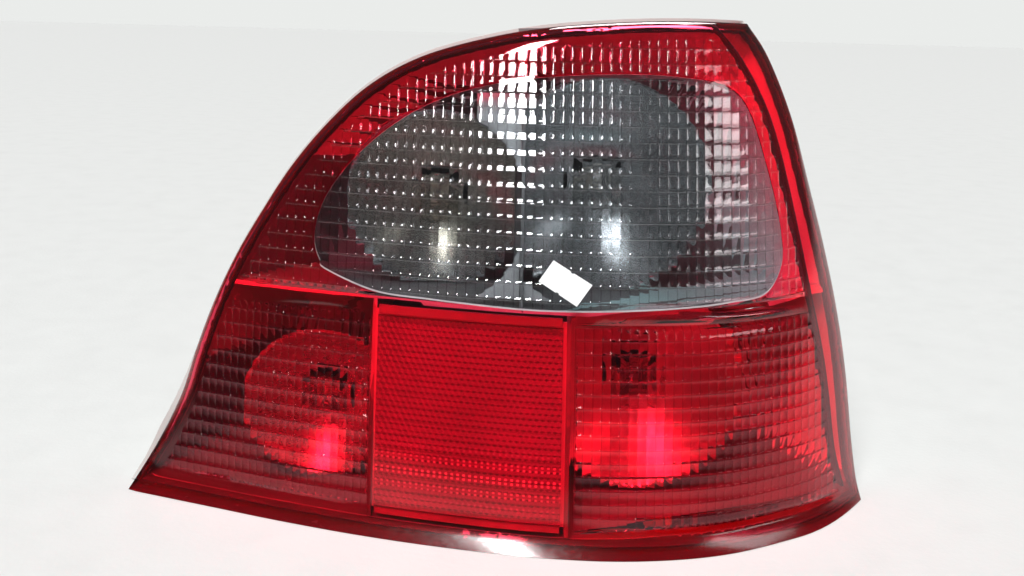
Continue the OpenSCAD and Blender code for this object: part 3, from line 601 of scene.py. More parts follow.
def red_lens():
    win_hole = WIN
    rings = []
    for d in (0.25, 0.7, 1.3, 2.1, 3.1, 4.3, 5.7, 7.2, 8.8):
        q, ok = inset_points(OUT, d)
        rings.append(thin(q[ok], 1.2 + d * 0.25))
    w1, _ = inset_points(WIN, -1.2)
    # ---- front
    inner_edge, _ = inset_points(OUT, 10.0)
    inner_edge = thin(inner_edge[_], 0.5)
    pts = np.concatenate(rings + [thin(w1, 1.5), grid(inner_edge, 3.2, 1.2, (WIN_OUT,))])
    borders = [thin(REGIONS[k], 1.6) for k in ("upper", "left", "right")]
    pts = pts[np.min([near(pts, b)[0] for b in borders], axis=0) > 0.5]
    v1, t1, (o1, w_1, *_rest) = triangulate([OUT, WIN] + borders, pts, OUT, (WIN,))
    _, f1 = optics(v1[t1].mean(1), False)
    f1 = np.where((f1 == 0) & (v1[t1].mean(1)[:, 1] < 10.0), 7, f1)
    y1 = face(v1[:, 0], v1[:, 1]) + rolled(v1, False)
    # ---- inside
    q24, ok24 = inset_points(OUT, 2.4)
    in_loop, seen = [], {}
    for q in q24:
        key = (round(q[0], 4), round(q[1], 4))
        if key not in seen:
            seen[key] = len(in_loop)
            in_loop.append(q)
    partner = [seen[(round(q[0], 4), round(q[1], 4))] for q in q24]
    in_loop = np.array(in_loop)
    rings2 = []
    for d in (3.0, 3.9, 5.0, 6.4, 8.0):
        q, ok = inset_points(OUT, d)
        rings2.append(thin(q[ok], 1.4 + d * 0.2))
    opt = np.concatenate([lattice(REGIONS["upper"], "upper", WIN_OUT), lattice(REGIONS["left"], "left"), lattice(REGIONS["right"], "right")])
    plain = grid(in_loop, 3.4, 1.5, (WIN_OUT, REGIONS["upper"], REGIONS["left"], REGIONS["right"]))
    pts = np.concatenate(rings2 + [opt, plain])
    pts = pts[np.min([near(pts, b)[0] for b in borders], axis=0) > 0.35]
    pts = pts[~within(pts, WIN)]
    pts = pts[near(pts, WIN)[0] > 0.5]
    v2, t2, (o2, w_2, *_rest) = triangulate([in_loop, WIN] + borders, pts, in_loop, (WIN,))
    cut, field2 = optics(v2, False)
    _, f2 = optics(v2[t2].mean(1), False)
    y2 = face(v2[:, 0], v2[:, 1]) + rolled(v2, True) + LENS_T - cut
    # ---- assemble
    n1, n2 = len(v1), len(v2)
    verts = [np.stack([v1[:, 0], y1, v1[:, 1]], 1), np.stack([v2[:, 0], y2, v2[:, 1]], 1)]
    rim_y = face(OUT[:, 0], OUT[:, 1]) + RIM_D * OUT_FULL
    back_out = np.stack([OUT[:, 0], rim_y + SKIRT, OUT[:, 1]], 1)
    back_in = np.stack([q24[:, 0], rim_y + SKIRT, q24[:, 1]], 1)
    s3 = n1 + n2
    s4 = s3 + len(OUT)
    verts += [back_out, back_in]
    faces = [tuple(t) for t in t1] + [tuple(t[::-1] + n1) for t in t2]
    slots = list(f1) + [0] * len(t2)
    m = len(OUT)

    def quad(a, b, c, d, slot=0):
        ids = []
        for k in (a, b, c, d):
            if k not in ids:
                ids.append(k)
        if len(ids) > 2:
            faces.append(tuple(ids))
            slots.append(slot)
    for k in range(m):
        j = (k + 1) % m
        # Slot 6 on the lowest edges is painted shade near the floor.
        quad(o1[k], s3 + k, s3 + j, o1[j], 6 if max(OUT[k][1], OUT[j][1]) < 3 else 5)
        # Slot 4: painted shade on the skirt's back end.
        quad(s3 + k, s4 + k, s4 + j, s3 + j, 4)
        quad(s4 + k, n1 + o2[partner[k]], n1 + o2[partner[j]], s4 + j)
    nw = len(WIN)
    for k in range(nw):
        j = (k + 1) % nw
        quad(w_1[k], w_1[j], n1 + w_2[j], n1 + w_2[k])
    verts = np.concatenate(verts)
    verts[:, 1] = np.maximum(verts[:, 1], CAD_BOX[0][1] * 1000 + ORG[1] + 0.02)
    crease = crease_test(v2, n1, field2)
    edge_ids = set()
    for loop, off in ((o1, 0), (w_1, 0), (o2, n1), (w_2, n1)):
        for k in range(len(loop)):
            a, b = loop[k] + off, loop[(k + 1) % len(loop)] + off
            edge_ids.add((min(a, b), max(a, b)))
    for k in range(m):
        j = (k + 1) % m
        for s in (s3, s4):
            edge_ids.add((min(s + k, s + j), max(s + k, s + j)))
    packed = np.array(sorted(a * 10 ** 7 + b for a, b in edge_ids))

    def sharp(e):
        lo, hi = e.min(1).astype(np.int64), e.max(1).astype(np.int64)
        return np.isin(lo * 10 ** 7 + hi, packed) | crease(e)
    o = build("lens_red_moulding", metres(verts), faces, red_mats, slots, True, sharp)
    outward(o)
    return o


def smoke_lens():
    edge, _ = inset_points(WIN, 0.05)
    rings = [thin(inset_points(WIN, d)[0], 1.4) for d in (0.6,)]
    pts = np.concatenate(rings + [grid(WIN_IN, 3.0, 1.0)])
    border = thin(WIN_IN, 1.6)
    pts = pts[near(pts, border)[0] > 0.4]
    v1, t1, (e1, _b) = triangulate([edge, border], pts, edge)
    _, f1 = optics(v1[t1].mean(1), True)
    y1 = face(v1[:, 0], v1[:, 1])
    pts = np.concatenate([rings[0], lattice(WIN_IN, "upper", nx=4, nz=5)])
    pts = pts[near(pts, border)[0] > 0.35]
    v2, t2, (e2, _b) = triangulate([edge, border], pts, edge)
    cut, field2 = optics(v2, True)
    _, f2 = optics(v2[t2].mean(1), True)
    y2 = face(v2[:, 0], v2[:, 1]) + LENS_T - cut
    n1 = len(v1)
    verts = np.concatenate([np.stack([v1[:, 0], y1, v1[:, 1]], 1), np.stack([v2[:, 0], y2, v2[:, 1]], 1)])
    faces = [tuple(t) for t in t1] + [tuple(t[::-1] + n1) for t in t2]
    slots = list(f1) + [0] * len(t2)
    m = len(edge)
    edge_ids = set()
    for k in range(m):
        j = (k + 1) % m
        faces.append((e1[k], n1 + e2[k], n1 + e2[j], e1[j]))
        slots.append(4)
        for loop, off in ((e1, 0), (e2, n1)):
            a, b = loop[k] + off, loop[j] + off
            edge_ids.add((min(a, b), max(a, b)))
    packed = np.array(sorted(a * 10 ** 7 + b for a, b in edge_ids))
    crease = crease_test(v2, n1, field2)

    def sharp(e):
        lo, hi = e.min(1).astype(np.int64), e.max(1).astype(np.int64)
        return np.isin(lo * 10 ** 7 + hi, packed) | crease(e)
    o = build("lens_smoke_window", metres(verts), faces, smoke_mats, slots, True, sharp)
    outward(o)
    return o


def outward(o):
    """Turns a closed mesh's faces so that they all look out."""
    import bmesh
    bm = bmesh.new()
    bm.from_mesh(o.data)
    bmesh.ops.recalc_face_normals(bm, faces=bm.faces)
    if bm.calc_volume(signed=True) < 0:
        bmesh.ops.reverse_faces(bm, faces=bm.faces)
    o["open_edges"] = sum(1 for e in bm.edges if len(e.link_faces) != 2)
    bm.to_mesh(o.data)
    bm.free()
    print(o.name, "triangles", sum(len(p.vertices) - 2 for p in o.data.polygons), "open edges", o["open_edges"])


def settle(o, slot, *nodes):
    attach(o, "root")
    if nodes:
        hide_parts(*nodes)
    return o


settle(red_lens(), "red_lens", "lens_red")
settle(smoke_lens(), "smoke_lens", "lens_smoke")

# ---------------------------------------------------------------- what lies behind the lens
housing_mat = plastic("housing_plastic", (0.66, 0.67, 0.645), 0.48, 0.00012, 800, 0.06)
black_mat = plastic("carrier_plastic", (0.035, 0.035, 0.038), 0.42, 0.00015, 900, 0.25)
backing_mat = plastic("backing_plastic", (0.62, 0.62, 0.60), 0.5, 0.0001, 700, 0.06)
rubber_mat = plastic("seal_rubber", (0.022, 0.022, 0.023), 0.7, 0.0002, 1400, 0.3)
# A sealant colour, made dark as painted shade for the band behind the rim.
sealant_shade_mat = plastic("joint_sealant_shade", (0.055, 0.048, 0.048), 0.6, 0.0002, 1100, 0.2)
rail_mat = metal("rail_brass", (0.80, 0.60, 0.28), 0.25, (8, 60, 60), 0.00002)
cap_mat = metal("cap_metal", (0.86, 0.82, 0.72), 0.34, (30, 30, 30), 0.00003)
cap_mat.node_tree.nodes["Principled BSDF"].inputs["Metallic"].default_value = 0.4
zinc_mat = metal("zinc_steel", (0.72, 0.74, 0.77), 0.3, (60, 20, 60), 0.00003, 0.15)
wire_mat = metal("tungsten", (0.42, 0.42, 0.44), 0.35, (200, 200, 200), 0.00001)


def foam():
    m, nt, b = tree("foam_ring")
    co = place_nodes(nt)
    v = add(nt, "ShaderNodeTexVoronoi")
    v.inputs["Scale"].default_value = 1100
    nt.links.new(co, v.inputs["Vector"])
    nt.links.new(ramp(nt, v.outputs["Distance"], [(0.1, (0.018, 0.018, 0.019)), (0.6, (0.055, 0.055, 0.058))]), b.inputs["Base Color"])
    nt.links.new(bump(nt, v.outputs["Distance"], 0.0004), b.inputs["Normal"])
    b.inputs["Roughness"].default_value = 0.9
    return m


def mirror(name, low, high, tone=1.0):
    """Vacuum metal on moulded plastic: bright, with the faint waves and dust of the moulding."""
    m, nt, b = tree(name)
    co = place_nodes(nt)
    b.inputs["Metallic"].default_value = 0.93
    slow = noise(nt, co, 22, 2)
    nt.links.new(ramp(nt, slow, [(0.3, tuple(tone * c for c in (0.78, 0.79, 0.80))), (0.7, tuple(tone * c for c in (0.90, 0.91, 0.92)))]), b.inputs["Base Color"])
    dust = noise(nt, co, 300, 5, 0.75)
    nt.links.new(spread(nt, dust, low, high, 0.4, 0.75), b.inputs["Roughness"])
    nt.links.new(bump(nt, noise(nt, co, 70, 2), 0.00008, 0.5), b.inputs["Normal"])
    return m


def clear_glass(name, tint, dust=0.0):
    m, nt, b = tree(name)
    co = place_nodes(nt)
    c = np.array(tint)
    nt.links.new(ramp(nt, noise(nt, co, 120, 3), [(0.3, tuple(c * 0.96)), (0.7, tint)]), b.inputs["Base Color"])
    b.inputs["Transmission Weight"].default_value = 1.0 - dust
    b.inputs["IOR"].default_value = 1.5
    nt.links.new(spread(nt, noise(nt, co, 500, 4), 0.0, 0.03, 0.4, 0.8), b.inputs["Roughness"])
    let_lamps_through(nt, b, tint)
    return m


def paper():
    m, nt, b = tree("sticker_paper")
    co = place_nodes(nt)
    fibre = noise(nt, co, 2600, 4, 0.7)
    nt.links.new(ramp(nt, fibre, [(0.3, (0.80, 0.80, 0.79)), (0.6, (0.90, 0.90, 0.89))]), b.inputs["Base Color"])
    nt.links.new(bump(nt, fibre, 0.00003, 0.8), b.inputs["Normal"])
    b.inputs["Roughness"].default_value = 0.6
    return m


dull_mat = mirror("metallised_dull", 0.24, 0.4, 0.76)
mirror_mat, worn_mat, foam_mat, paper_mat = mirror("metallised", 0.14, 0.26), mirror("metallised_lower", 0.3, 0.44), foam(), paper()
clear_mat = clear_glass("bulb_glass_clear", (0.97, 0.98, 0.98), 0.02)
dusty_mat = clear_glass("bulb_glass_dusty", (0.97, 0.98, 0.98), 0.08)
amber_mat = clear_glass("bulb_glass_amber", (0.90, 0.85, 0.76), 0.07)


def copy_of(node, name, mats, angle=32, bevel=0.0):
    """A piece with a CAD node's own shape, with rounded faces shaded as one and its sharp edges kept sharp."""
    me = NODES[node].data.copy()
    me.name = name
    o = bpy.data.objects.new(name, me)
    bpy.context.scene.collection.objects.link(o)
    import bmesh
    bm = bmesh.new()
    bm.from_mesh(me)
    bmesh.ops.remove_doubles(bm, verts=bm.verts, dist=2e-6)
    bmesh.ops.dissolve_degenerate(bm, edges=bm.edges, dist=1e-6)
    bm.to_mesh(me)
    bm.free()
    me.materials.clear()
    for m in mats:
        me.materials.append(m)
    for name_a in ("sharp_face", "custom_normal"):
        if me.attributes.get(name_a):
            me.attributes.remove(me.attributes[name_a])
    me.polygons.foreach_set("use_smooth", np.ones(len(me.polygons), bool))
    mark_angle(me, angle)
    return o


LAMPS = {"indicator": (154, 148, 50, 44, 20, 0), "reverse": (236, 157, 48, 53, 22, 0),
         "stop_tail": (258, 60, 23, 50, 20, 90), "fog": (98, 46, 22, 38, 18, 0)}
TRIM = {"indicator": (90, 196.2, 105.2, 230), "reverse": (199, 320, 105.2, 230), "stop_tail": (221.6, 330, 0, 101.8), "fog": (20, 125.4, 0, 101.8)}


def bowl(key):
    """A metallised bowl: a smooth dish with a rolled lip and a neck, trimmed to its chamber."""
    x0, z0, vertex, R, p, _ = LAMPS[key]
    x1, x2, z1, z2 = TRIM[key]
    r0 = 13.5
    c = np.array([x0, z0])

    def dish(r):
        return (np.minimum(r, R) ** 2 - r0 ** 2) / (4 * p)

    def clipped(r, n=180):
        a = np.arange(n) / n * 2 * math.pi
        q = c + r * np.stack([np.cos(a), np.sin(a)], 1)
        q[:, 0] = np.clip(q[:, 0], x1, x2)
        q[:, 1] = np.clip(q[:, 1], z1, z2)
        return thin(q, 0.12)
    outer = clipped(R + 1.3)
    a = np.arange(96) / 96 * 2 * math.pi
    hole = c + r0 * np.stack([np.cos(a), np.sin(a)], 1)
    pts = []
    for r in list(np.linspace(r0 + 1.2, R - 0.6, 22)) + [R, R + 0.6]:
        n = max(48, int(r * 2.4))
        b = np.arange(n) / n * 2 * math.pi
        q = c + r * np.stack([np.cos(b), np.sin(b)], 1)
        pts.append(q[(q[:, 0] > x1 + 0.4) & (q[:, 0] < x2 - 0.4) & (q[:, 1] > z1 + 0.4) & (q[:, 1] < z2 - 0.4)])
    v, t, (lo, lh) = triangulate([outer, hole], np.concatenate(pts), outer, (hole,))
    r = np.linalg.norm(v - c, axis=1)
    front = vertex - dish(r) + np.clip(r - R, 0, 2) * 0.25
    n = len(v)
    verts = [np.stack([v[:, 0], front, v[:, 1]], 1), np.stack([v[:, 0], front + 1.1, v[:, 1]], 1)]
    faces = [tuple(q) for q in t] + [tuple(q[::-1] + n) for q in t]
    m = len(outer)
    for k in range(m):
        j = (k + 1) % m
        faces.append((lo[k], n + lo[k], n + lo[j], lo[j]))
    base = 2 * n
    for rr, yy in ((r0, BACK_Y), (15.4, BACK_Y), (15.4, vertex + 2.4)):
        verts.append(np.stack([c[0] + rr * np.cos(a), np.full(96, yy), c[1] + rr * np.sin(a)], 1))
    for k in range(96):
        j = (k + 1) % 96
        faces.append((lh[k], lh[j], base + j, base + k))
        faces.append((base + k, base + j, base + 96 + j, base + 96 + k))
        faces.append((base + 96 + k, base + 96 + j, base + 192 + j, base + 192 + k))
        faces.append((base + 192 + k, base + 192 + j, n + lh[j], n + lh[k]))
    o = build(key + "_bowl", metres(np.concatenate(verts)), faces, [mirror_mat if z0 > 105 else dull_mat if key == "fog" else worn_mat])
    outward(o)
    mark_angle(o.data, 38)
    return o


def lathe(name, mat, prof, key, seg=72, wrap=True):
    """Turns a profile of (radius, y) about a lamp's axis."""
    x0, z0 = LAMPS[key][:2] if isinstance(key, str) else key
    a = np.arange(seg) / seg * 2 * math.pi
    verts = np.concatenate([np.stack([x0 + r * np.cos(a), np.full(seg, float(y)), z0 + r * np.sin(a)], 1) for r, y in prof])
    m = len(prof)
    faces = []
    for i in range(m if wrap else m - 1):
        for k in range(seg):
            j = (k + 1) % seg
            i2 = (i + 1) % m
            faces.append((i * seg + k, i * seg + j, i2 * seg + j, i2 * seg + k))
    import bmesh
    me = bpy.data.meshes.new(name)
    me.from_pydata([tuple(q) for q in metres(verts)], [], faces)
    bm = bmesh.new()
    bm.from_mesh(me)
    bmesh.ops.remove_doubles(bm, verts=bm.verts, dist=1e-6)
    bmesh.ops.dissolve_degenerate(bm, edges=bm.edges, dist=1e-7)
    bmesh.ops.recalc_face_normals(bm, faces=bm.faces)
    bm.to_mesh(me)
    bm.free()
    me.materials.append(mat)
    me.polygons.foreach_set("use_smooth", np.ones(len(me.polygons), bool))
    mark_angle(me, 40)
    o = bpy.data.objects.new(name, me)
    bpy.context.scene.collection.objects.link(o)
    return o


def smooth_profile(pts, n=5):
    return [tuple(q) for q in run(pts, n)] + [tuple(pts[-1])]


def envelope(key, mat):
    """The bulb's glass, blown thin, with a rounded end and a waist above its cap."""
    c = LAMPS[key][2] - LAMPS[key][4] + 22
    out = smooth_profile([(6.7, c + 5), (6.7, c - 1), (8.4, c - 4), (11, c - 9), (12.45, c - 15), (12.45, c - 21.5), (11.4, c - 27),
                          (8.6, c - 31), (4.6, c - 33.4), (0.0, c - 33.95)])
    inn = [(max(0.0, r - 0.75), y + (0.75 if y < c - 25 else 0.0)) for r, y in out[::-1]]
    return lathe(key + "_bulb_envelope", mat, out + inn, key)


def tube(points, radius, seg=8):
    """Vertices and faces of a round wire along points (millimetres)."""
    pts = np.asarray(points, float)
    d = np.gradient(pts, axis=0)
    d /= np.linalg.norm(d, axis=1)[:, None]
    up = np.cross(d, [0.3, 0.2, 0.93])
    up /= np.linalg.norm(up, axis=1)[:, None]
    side = np.cross(d, up)
    a = np.arange(seg) / seg * 2 * math.pi
    v = (pts[:, None] + radius * (np.cos(a)[None, :, None] * up[:, None] + np.sin(a)[None, :, None] * side[:, None])).reshape(-1, 3)
    f = [(i * seg + k, i * seg + (k + 1) % seg, (i + 1) * seg + (k + 1) % seg, (i + 1) * seg + k) for i in range(len(pts) - 1) for k in range(seg)]
    f += [tuple(range(seg))[::-1], tuple((len(pts) - 1) * seg + k for k in range(seg))]
    return v, f


def coil(key):
    """Coiled filament between its support wires, tied by a glass bead."""
    x0, z0, vertex, _, p, _ = LAMPS[key]
    f, c = vertex - p, vertex - p + 22 + 15
    verts, faces, slots = [], [], []

    def put(v, fs, slot=0):
        n = sum(len(q) for q in verts)
        verts.append(v)
        faces.extend(tuple(k + n for k in q) for q in fs)
        slots.extend([slot] * len(fs))
    for s in ((-1.8, 1.8) if key == "stop_tail" else (0.0,)):
        a = np.linspace(0, 13 * 2 * math.pi, 13 * 14)
        put(*tube(np.stack([x0 - 3.3 + 6.6 * a / a[-1], f + 0.55 * np.cos(a), z0 + s + 0.55 * np.sin(a)], 1), 0.1, 6))
        for x in (-3.4, 3.4):
            y = np.linspace(f - 0.3, c, 24)
            put(*tube(np.stack([np.full(24, x0 + x), y, np.full(24, z0 + s) + 0.12 * np.sin((y - f) * 0.25)], 1), 0.3, 8))
    half = 2.8 if key == "stop_tail" else 1.15
    a = np.linspace(-4.4, 4.4, 20)
    bead = np.stack([x0 + a, np.full(20, f + 13.2), np.full(20, z0)], 1)
    v, fs = tube(bead, 1.0, 14)
    v[:, 2] = z0 + (v[:, 2] - z0) * half
    put(v, fs, 1)
    o = build(key + "_filament_coil", metres(np.concatenate(verts)), faces, [wire_mat, clear_mat], slots)
    return o


for lamp in LAMPS:
    settle(bowl(lamp), "metallised", lamp + "_reflector")
    settle(envelope(lamp, {"indicator": amber_mat, "reverse": dusty_mat}.get(lamp, clear_mat)), "amber_glass" if lamp == "indicator" else "clear_glass", lamp + "_bulb_glass")
    settle(coil(lamp), "filament", lamp + "_filament")
    NODES[lamp + "_bulb_cap"].data.materials.clear()
    NODES[lamp + "_bulb_cap"].data.materials.append(cap_mat)

def satin(name, tone, metallic=0.4, light_cast=(1.0, 1.0, 1.01)):
    """The thin metal film on the inside of the tub: brighter and duller by patches, with the plastic's grain under it.
    Its tone and colour cast are set for each copy, to paint the light and shade that fall on each part of the tub.
    """
    m, nt, b = tree(name)
    co = place_nodes(nt)
    b.inputs["Metallic"].default_value = metallic
    nt.links.new(ramp(nt, noise(nt, co, 30, 3), [(0.3, tuple(tone * 0.9 * c for c in light_cast)), (0.7, tuple(min(1.0, tone * 1.1 * c) for c in light_cast))]), b.inputs["Base Color"])
    nt.links.new(spread(nt, noise(nt, co, 120, 5, 0.7), 0.42, 0.6), b.inputs["Roughness"])
    nt.links.new(bump(nt, noise(nt, co, 500, 3), 0.00012, 0.6), b.inputs["Normal"])
    return m


def tub():
    # The film's copies are painted light and shade: lit, shaded, lit with a cyan cast, deep shade and half shade.
    o = copy_of("housing", "housing_tub", [housing_mat, satin("lit_metal_film", 0.9, 0.1), satin("shaded_film", 0.24), satin("window_lit_film", 0.95, 0.4, (0.68, 1.0, 0.99)),
                                         satin("deep_shade_film", 0.13), satin("half_shade_film", 0.5)])
    me = o.data
    n = len(me.polygons)
    nor, cen = np.zeros(n * 3, np.float32), np.zeros(n * 3, np.float32)
    me.polygons.foreach_get("normal", nor)
    me.polygons.foreach_get("center", cen)
    nor, cen = nor.reshape(-1, 3).astype(float), cen.reshape(-1, 3).astype(float) * 1000 + ORG
    q = cen[:, [0, 2]]
    deep = within(q, OUT) & (near(q, OUT)[0] > 4.2)
    inward = ((np.array([205, 105]) - q) * nor[:, [0, 2]]).sum(1) > 0
    film = deep & (cen[:, 1] < BACK_Y - 2.9) & ((nor[:, 1] < -0.15) | (inward & (nor[:, 1] < 0.1)) | (near(q, OUT)[0] > 12) & (np.abs(nor[:, 1]) < 0.06))
    film &= q[:, 1] > 9.6
    base_in = within(q, OUT) & (nor[:, 2] > 0.5) & (q[:, 1] < 9.7) & (cen[:, 1] < BACK_Y - 2.9)
    partition = (nor[:, 1] < -0.8) & (np.abs(q[:, 0] - 197.5) < 1.8) & (q[:, 1] > 104)
    lit_ledge = (nor[:, 1] < -0.6) & (np.abs(q[:, 1] - 102.5) < 1.7)
    # Painted light and shade: the film gets a lit copy (1) at the top, at the right end and near the upper outline; a
    # lit copy with a cyan cast (3) in the right of the window chamber, against the red light that comes in there; a
    # shaded copy (2) elsewhere, on the tub's floor and on the partition; a lit copy on the ledge under the window; deep
    # shade (4) and half shade (5) in the lower left.
    kind = np.where(film, np.where((q[:, 0] > 318) | (q[:, 1] > 208) | ((near(q, OUT)[0] < 24) & (q[:, 1] > 168)), 1, np.where((q[:, 0] > 292) & (q[:, 1] > 102.6), 3, 2)), 0)
    kind[base_in | partition] = 2
    kind[lit_ledge] = 1
    lower_left = (kind == 2) & (q[:, 0] < 128)
    kind[lower_left & (q[:, 1] < 62)] = 4
    kind[lower_left & (q[:, 1] > 66) & (q[:, 1] < 101)] = 5
    me.polygons.foreach_set("material_index", kind.astype(np.int32))
    return o


settle(tub(), "housing_grey", "housing")


def sealant():
    """The bead that joins the lens's skirt to the tub, in the corner behind the rim. It is made dark as painted shade,
    so that the shadowed band behind the rim shows through the lens.
    """
    a, _ = inset_points(OUT, 2.6)
    b, _ = inset_points(OUT, 4.4)
    y = face(OUT[:, 0], OUT[:, 1]) + RIM_D * OUT_FULL
    m = len(OUT)
    rings = [(a, y + 7.0), (a, y + SKIRT), (b, y + SKIRT), (b, y + 8.0), ((a + b) / 2, y + 6.8)]
    verts = np.concatenate([np.stack([q[:, 0], yy, q[:, 1]], 1) for q, yy in rings])
    faces = []
    for r in range(5):
        for k in range(m):
            j = (k + 1) % m
            faces.append((r * m + k, r * m + j, ((r + 1) % 5) * m + j, ((r + 1) % 5) * m + k))
    import bmesh
    o = build("seam_bead", metres(verts), faces, [sealant_shade_mat])
    bm = bmesh.new()
    bm.from_mesh(o.data)
    bmesh.ops.remove_doubles(bm, verts=bm.verts, dist=1e-6)
    bmesh.ops.dissolve_degenerate(bm, edges=bm.edges, dist=1e-7)
    bm.to_mesh(o.data)
    bm.free()
    outward(o)
    mark_angle(o.data, 40)
    return o


settle(sealant(), "seal_rubber")


film_mat = satin("bridge_film", 0.6)


def bridge():
    """The flat of the metallised moulding in the corners between the two upper bowls, on both sides of the dividing wall."""
    verts, faces = [], []
    cols = 7
    zs = np.arange(107.2, 202.0, 1.1)
    for side in (0, 1):
        rows = []
        for z in zs:
            if side == 0:
                h = 45.6 ** 2 - (z - 148) ** 2
                a, b = max(174.0, 154 + math.sqrt(h) if h > 0 else 174.0), 196.2
            else:
                h = 54.6 ** 2 - (z - 157) ** 2
                a, b = 199.0, min(214.0, 236 - math.sqrt(h) if h > 0 else 214.0)
            rows.append((z, a, b) if b - a > 0.5 else None)
        start = 0
        while start < len(rows):
            if rows[start] is None:
                start += 1
                continue
            end = start
            while end < len(rows) and rows[end] is not None:
                end += 1
            block = rows[start:end]
            start = end
            if len(block) < 3:
                continue
            n0, m = len(verts), len(block)
            for back in (0.0, 1.0):
                for z, a, b in block:
                    for x in np.linspace(a, b, cols):
                        edge = min(1.0, (x - a) / 1.2, (b - x) / 1.2) if b - a > 3 else 1.0
                        verts.append((x, float(face(x, z)) + 11.0 + back + 0.5 * (1 - edge), z))

            def at(layer, i, k):
                return n0 + layer * m * cols + i * cols + k
            for i in range(m - 1):
                for k in range(cols - 1):
                    faces.append((at(0, i, k), at(0, i, k + 1), at(0, i + 1, k + 1), at(0, i + 1, k)))
                    faces.append((at(1, i, k), at(1, i + 1, k), at(1, i + 1, k + 1), at(1, i, k + 1)))
                for k in (0, cols - 1):
                    faces.append((at(0, i, k), at(0, i + 1, k), at(1, i + 1, k), at(1, i, k)))
            for i in (0, m - 1):
                for k in range(cols - 1):
                    faces.append((at(0, i, k), at(1, i, k), at(1, i, k + 1), at(0, i, k + 1)))
    o = build("reflector_bridge", metres(np.array(verts)), faces, [film_mat])
    outward(o)
    mark_angle(o.data, 40)
    return o


settle(bridge(), "metallised")


def reflex():
    """The reflex panel: a smooth front and a field of small cube corners on its back."""
    x1, x2, z1, z2 = 129.3, 217.2, 11.0, 98.0
    pitch = 2.9
    row = pitch * math.sqrt(3) / 2
    verts, faces = [], []
    nx, nz = int((x2 - x1) / pitch), int((z2 - z1) / row)
    sx, sz = (x2 - x1) / nx, (z2 - z1) / nz
    near_y, flat, tip = LENS_T + 0.4, LENS_T + 1.2, LENS_T + 2.6

    def at(x, z, d):
        x, z = min(max(x, x1), x2), min(max(z, z1), z2)
        return (x, float(face(x, z)) + d, z)
    index = {}

    def vert(x, z, d):
        x, z = min(max(x, x1), x2), min(max(z, z1), z2)
        k = (round(x, 3), round(z, 3), round(d, 3))
        if k not in index:
            index[k] = len(verts)
            verts.append(at(x, z, d))
        return index[k]
    for j in range(nz):
        for i in range(-1, nx + 1):
            cx = x1 + (i + 0.5 + (0.5 if j % 2 else 0)) * sx
            cz = z1 + (j + 0.5) * sz
            if cx - sx / 2 > x2 - 0.01 or cx + sx / 2 < x1 + 0.01:
                continue
            # a hexagon whose corners lie high and low in turn, with its middle at the tip
            ring = [(cx, cz + sz * 0.66), (cx + sx / 2, cz + sz * 0.34), (cx + sx / 2, cz - sz * 0.34), (cx, cz - sz * 0.66), (cx - sx / 2, cz - sz * 0.34), (cx - sx / 2, cz + sz * 0.34)]
            ids = []
            for k, (x, z) in enumerate(ring):
                ids.append(vert(x, z, flat if k % 2 == 0 else (flat + tip) / 2))
            mid = vert(cx, cz, tip)
            for k in (1, 3, 5):
                quad = [mid, ids[k], ids[(k + 1) % 6], ids[(k + 2) % 6]]
                if len(set(quad)) > 2:
                    q = []
                    for w in quad:
                        if w not in q:
                            q.append(w)
                    faces.append(tuple(q))
    o = build("reflex_prisms", metres(np.array(verts)), faces, [], smooth=False)
    n = len(verts)
    # smooth front and its rim
    gx, gz = np.linspace(x1, x2, 45), np.linspace(z1, z2, 45)
    fv = [(x, float(face(x, z)) + near_y, z) for z in gz for x in gx]
    ff = [(r * 45 + k, r * 45 + k + 1, (r + 1) * 45 + k + 1, (r + 1) * 45 + k) for r in range(44) for k in range(44)]
    m = len(fv)
    border = [k for k in range(45)] + [45 * r + 44 for r in range(1, 45)] + [45 * 44 + k for k in range(43, -1, -1)] + [45 * r for r in range(43, 0, -1)]
    side = [(fv[k][0], float(face(fv[k][0], fv[k][2])) + flat + 0.1, fv[k][2]) for k in border]
    sf = [(border[k], border[(k + 1) % len(border)], m + (k + 1) % len(border), m + k) for k in range(len(border))]
    bpy.data.objects.remove(o)
    allv = np.array(fv + side + verts)
    off = m + len(side)
    allf = ff + sf + [tuple(k + off for k in f) for f in faces]
    mat = lens_material("reflex_red", (0.62, 0.36, 0.58), (0.54, 0.29, 0.50), haze=0.1)
    dots = painted_glint_rows(lens_material("reflex_front", (0.62, 0.36, 0.58), (0.54, 0.29, 0.50), haze=0.1))
    edge = plastic("reflex_edge", (0.05, 0.008, 0.010), 0.4, 0.0001, 900, 0.3)
    o = build("reflex_panel", metres(allv), allf, [mat, edge, dots], [2] * len(ff) + [1] * len(sf) + [0] * len(faces))
    mark_angle(o.data, 20)
    return o


settle(reflex(), "reflex_red", "reflex_reflector")


def surround():
    """Two slim bars that close the slots above and below the reflex panel."""
    verts, faces = [], []
    xs = np.linspace(129.6, 216.9, 41)
    for low, high in ((98.5, 102.3), (7.6, 10.6)):
        s = len(verts)
        for x in xs:
            for z, d in ((low, 4.0), (high, 4.0), (high, 5.6), (low, 5.6)):
                verts.append((x, float(face(x, z)) + d, z))
        for k in range(len(xs) - 1):
            for e in range(4):
                a, b = s + 4 * k + e, s + 4 * k + (e + 1) % 4
                faces.append((a, b, b + 4, a + 4))
        e = s + 4 * (len(xs) - 1)
        faces += [(s, s + 3, s + 2, s + 1), (e, e + 1, e + 2, e + 3)]
    o = build("reflex_surround", metres(np.array(verts)), faces, [plastic("surround_grey", (0.27, 0.25, 0.25), 0.5, 0.00012, 900, 0.2)], angle=40)
    outward(o)
    return o


settle(surround(), "housing_grey")


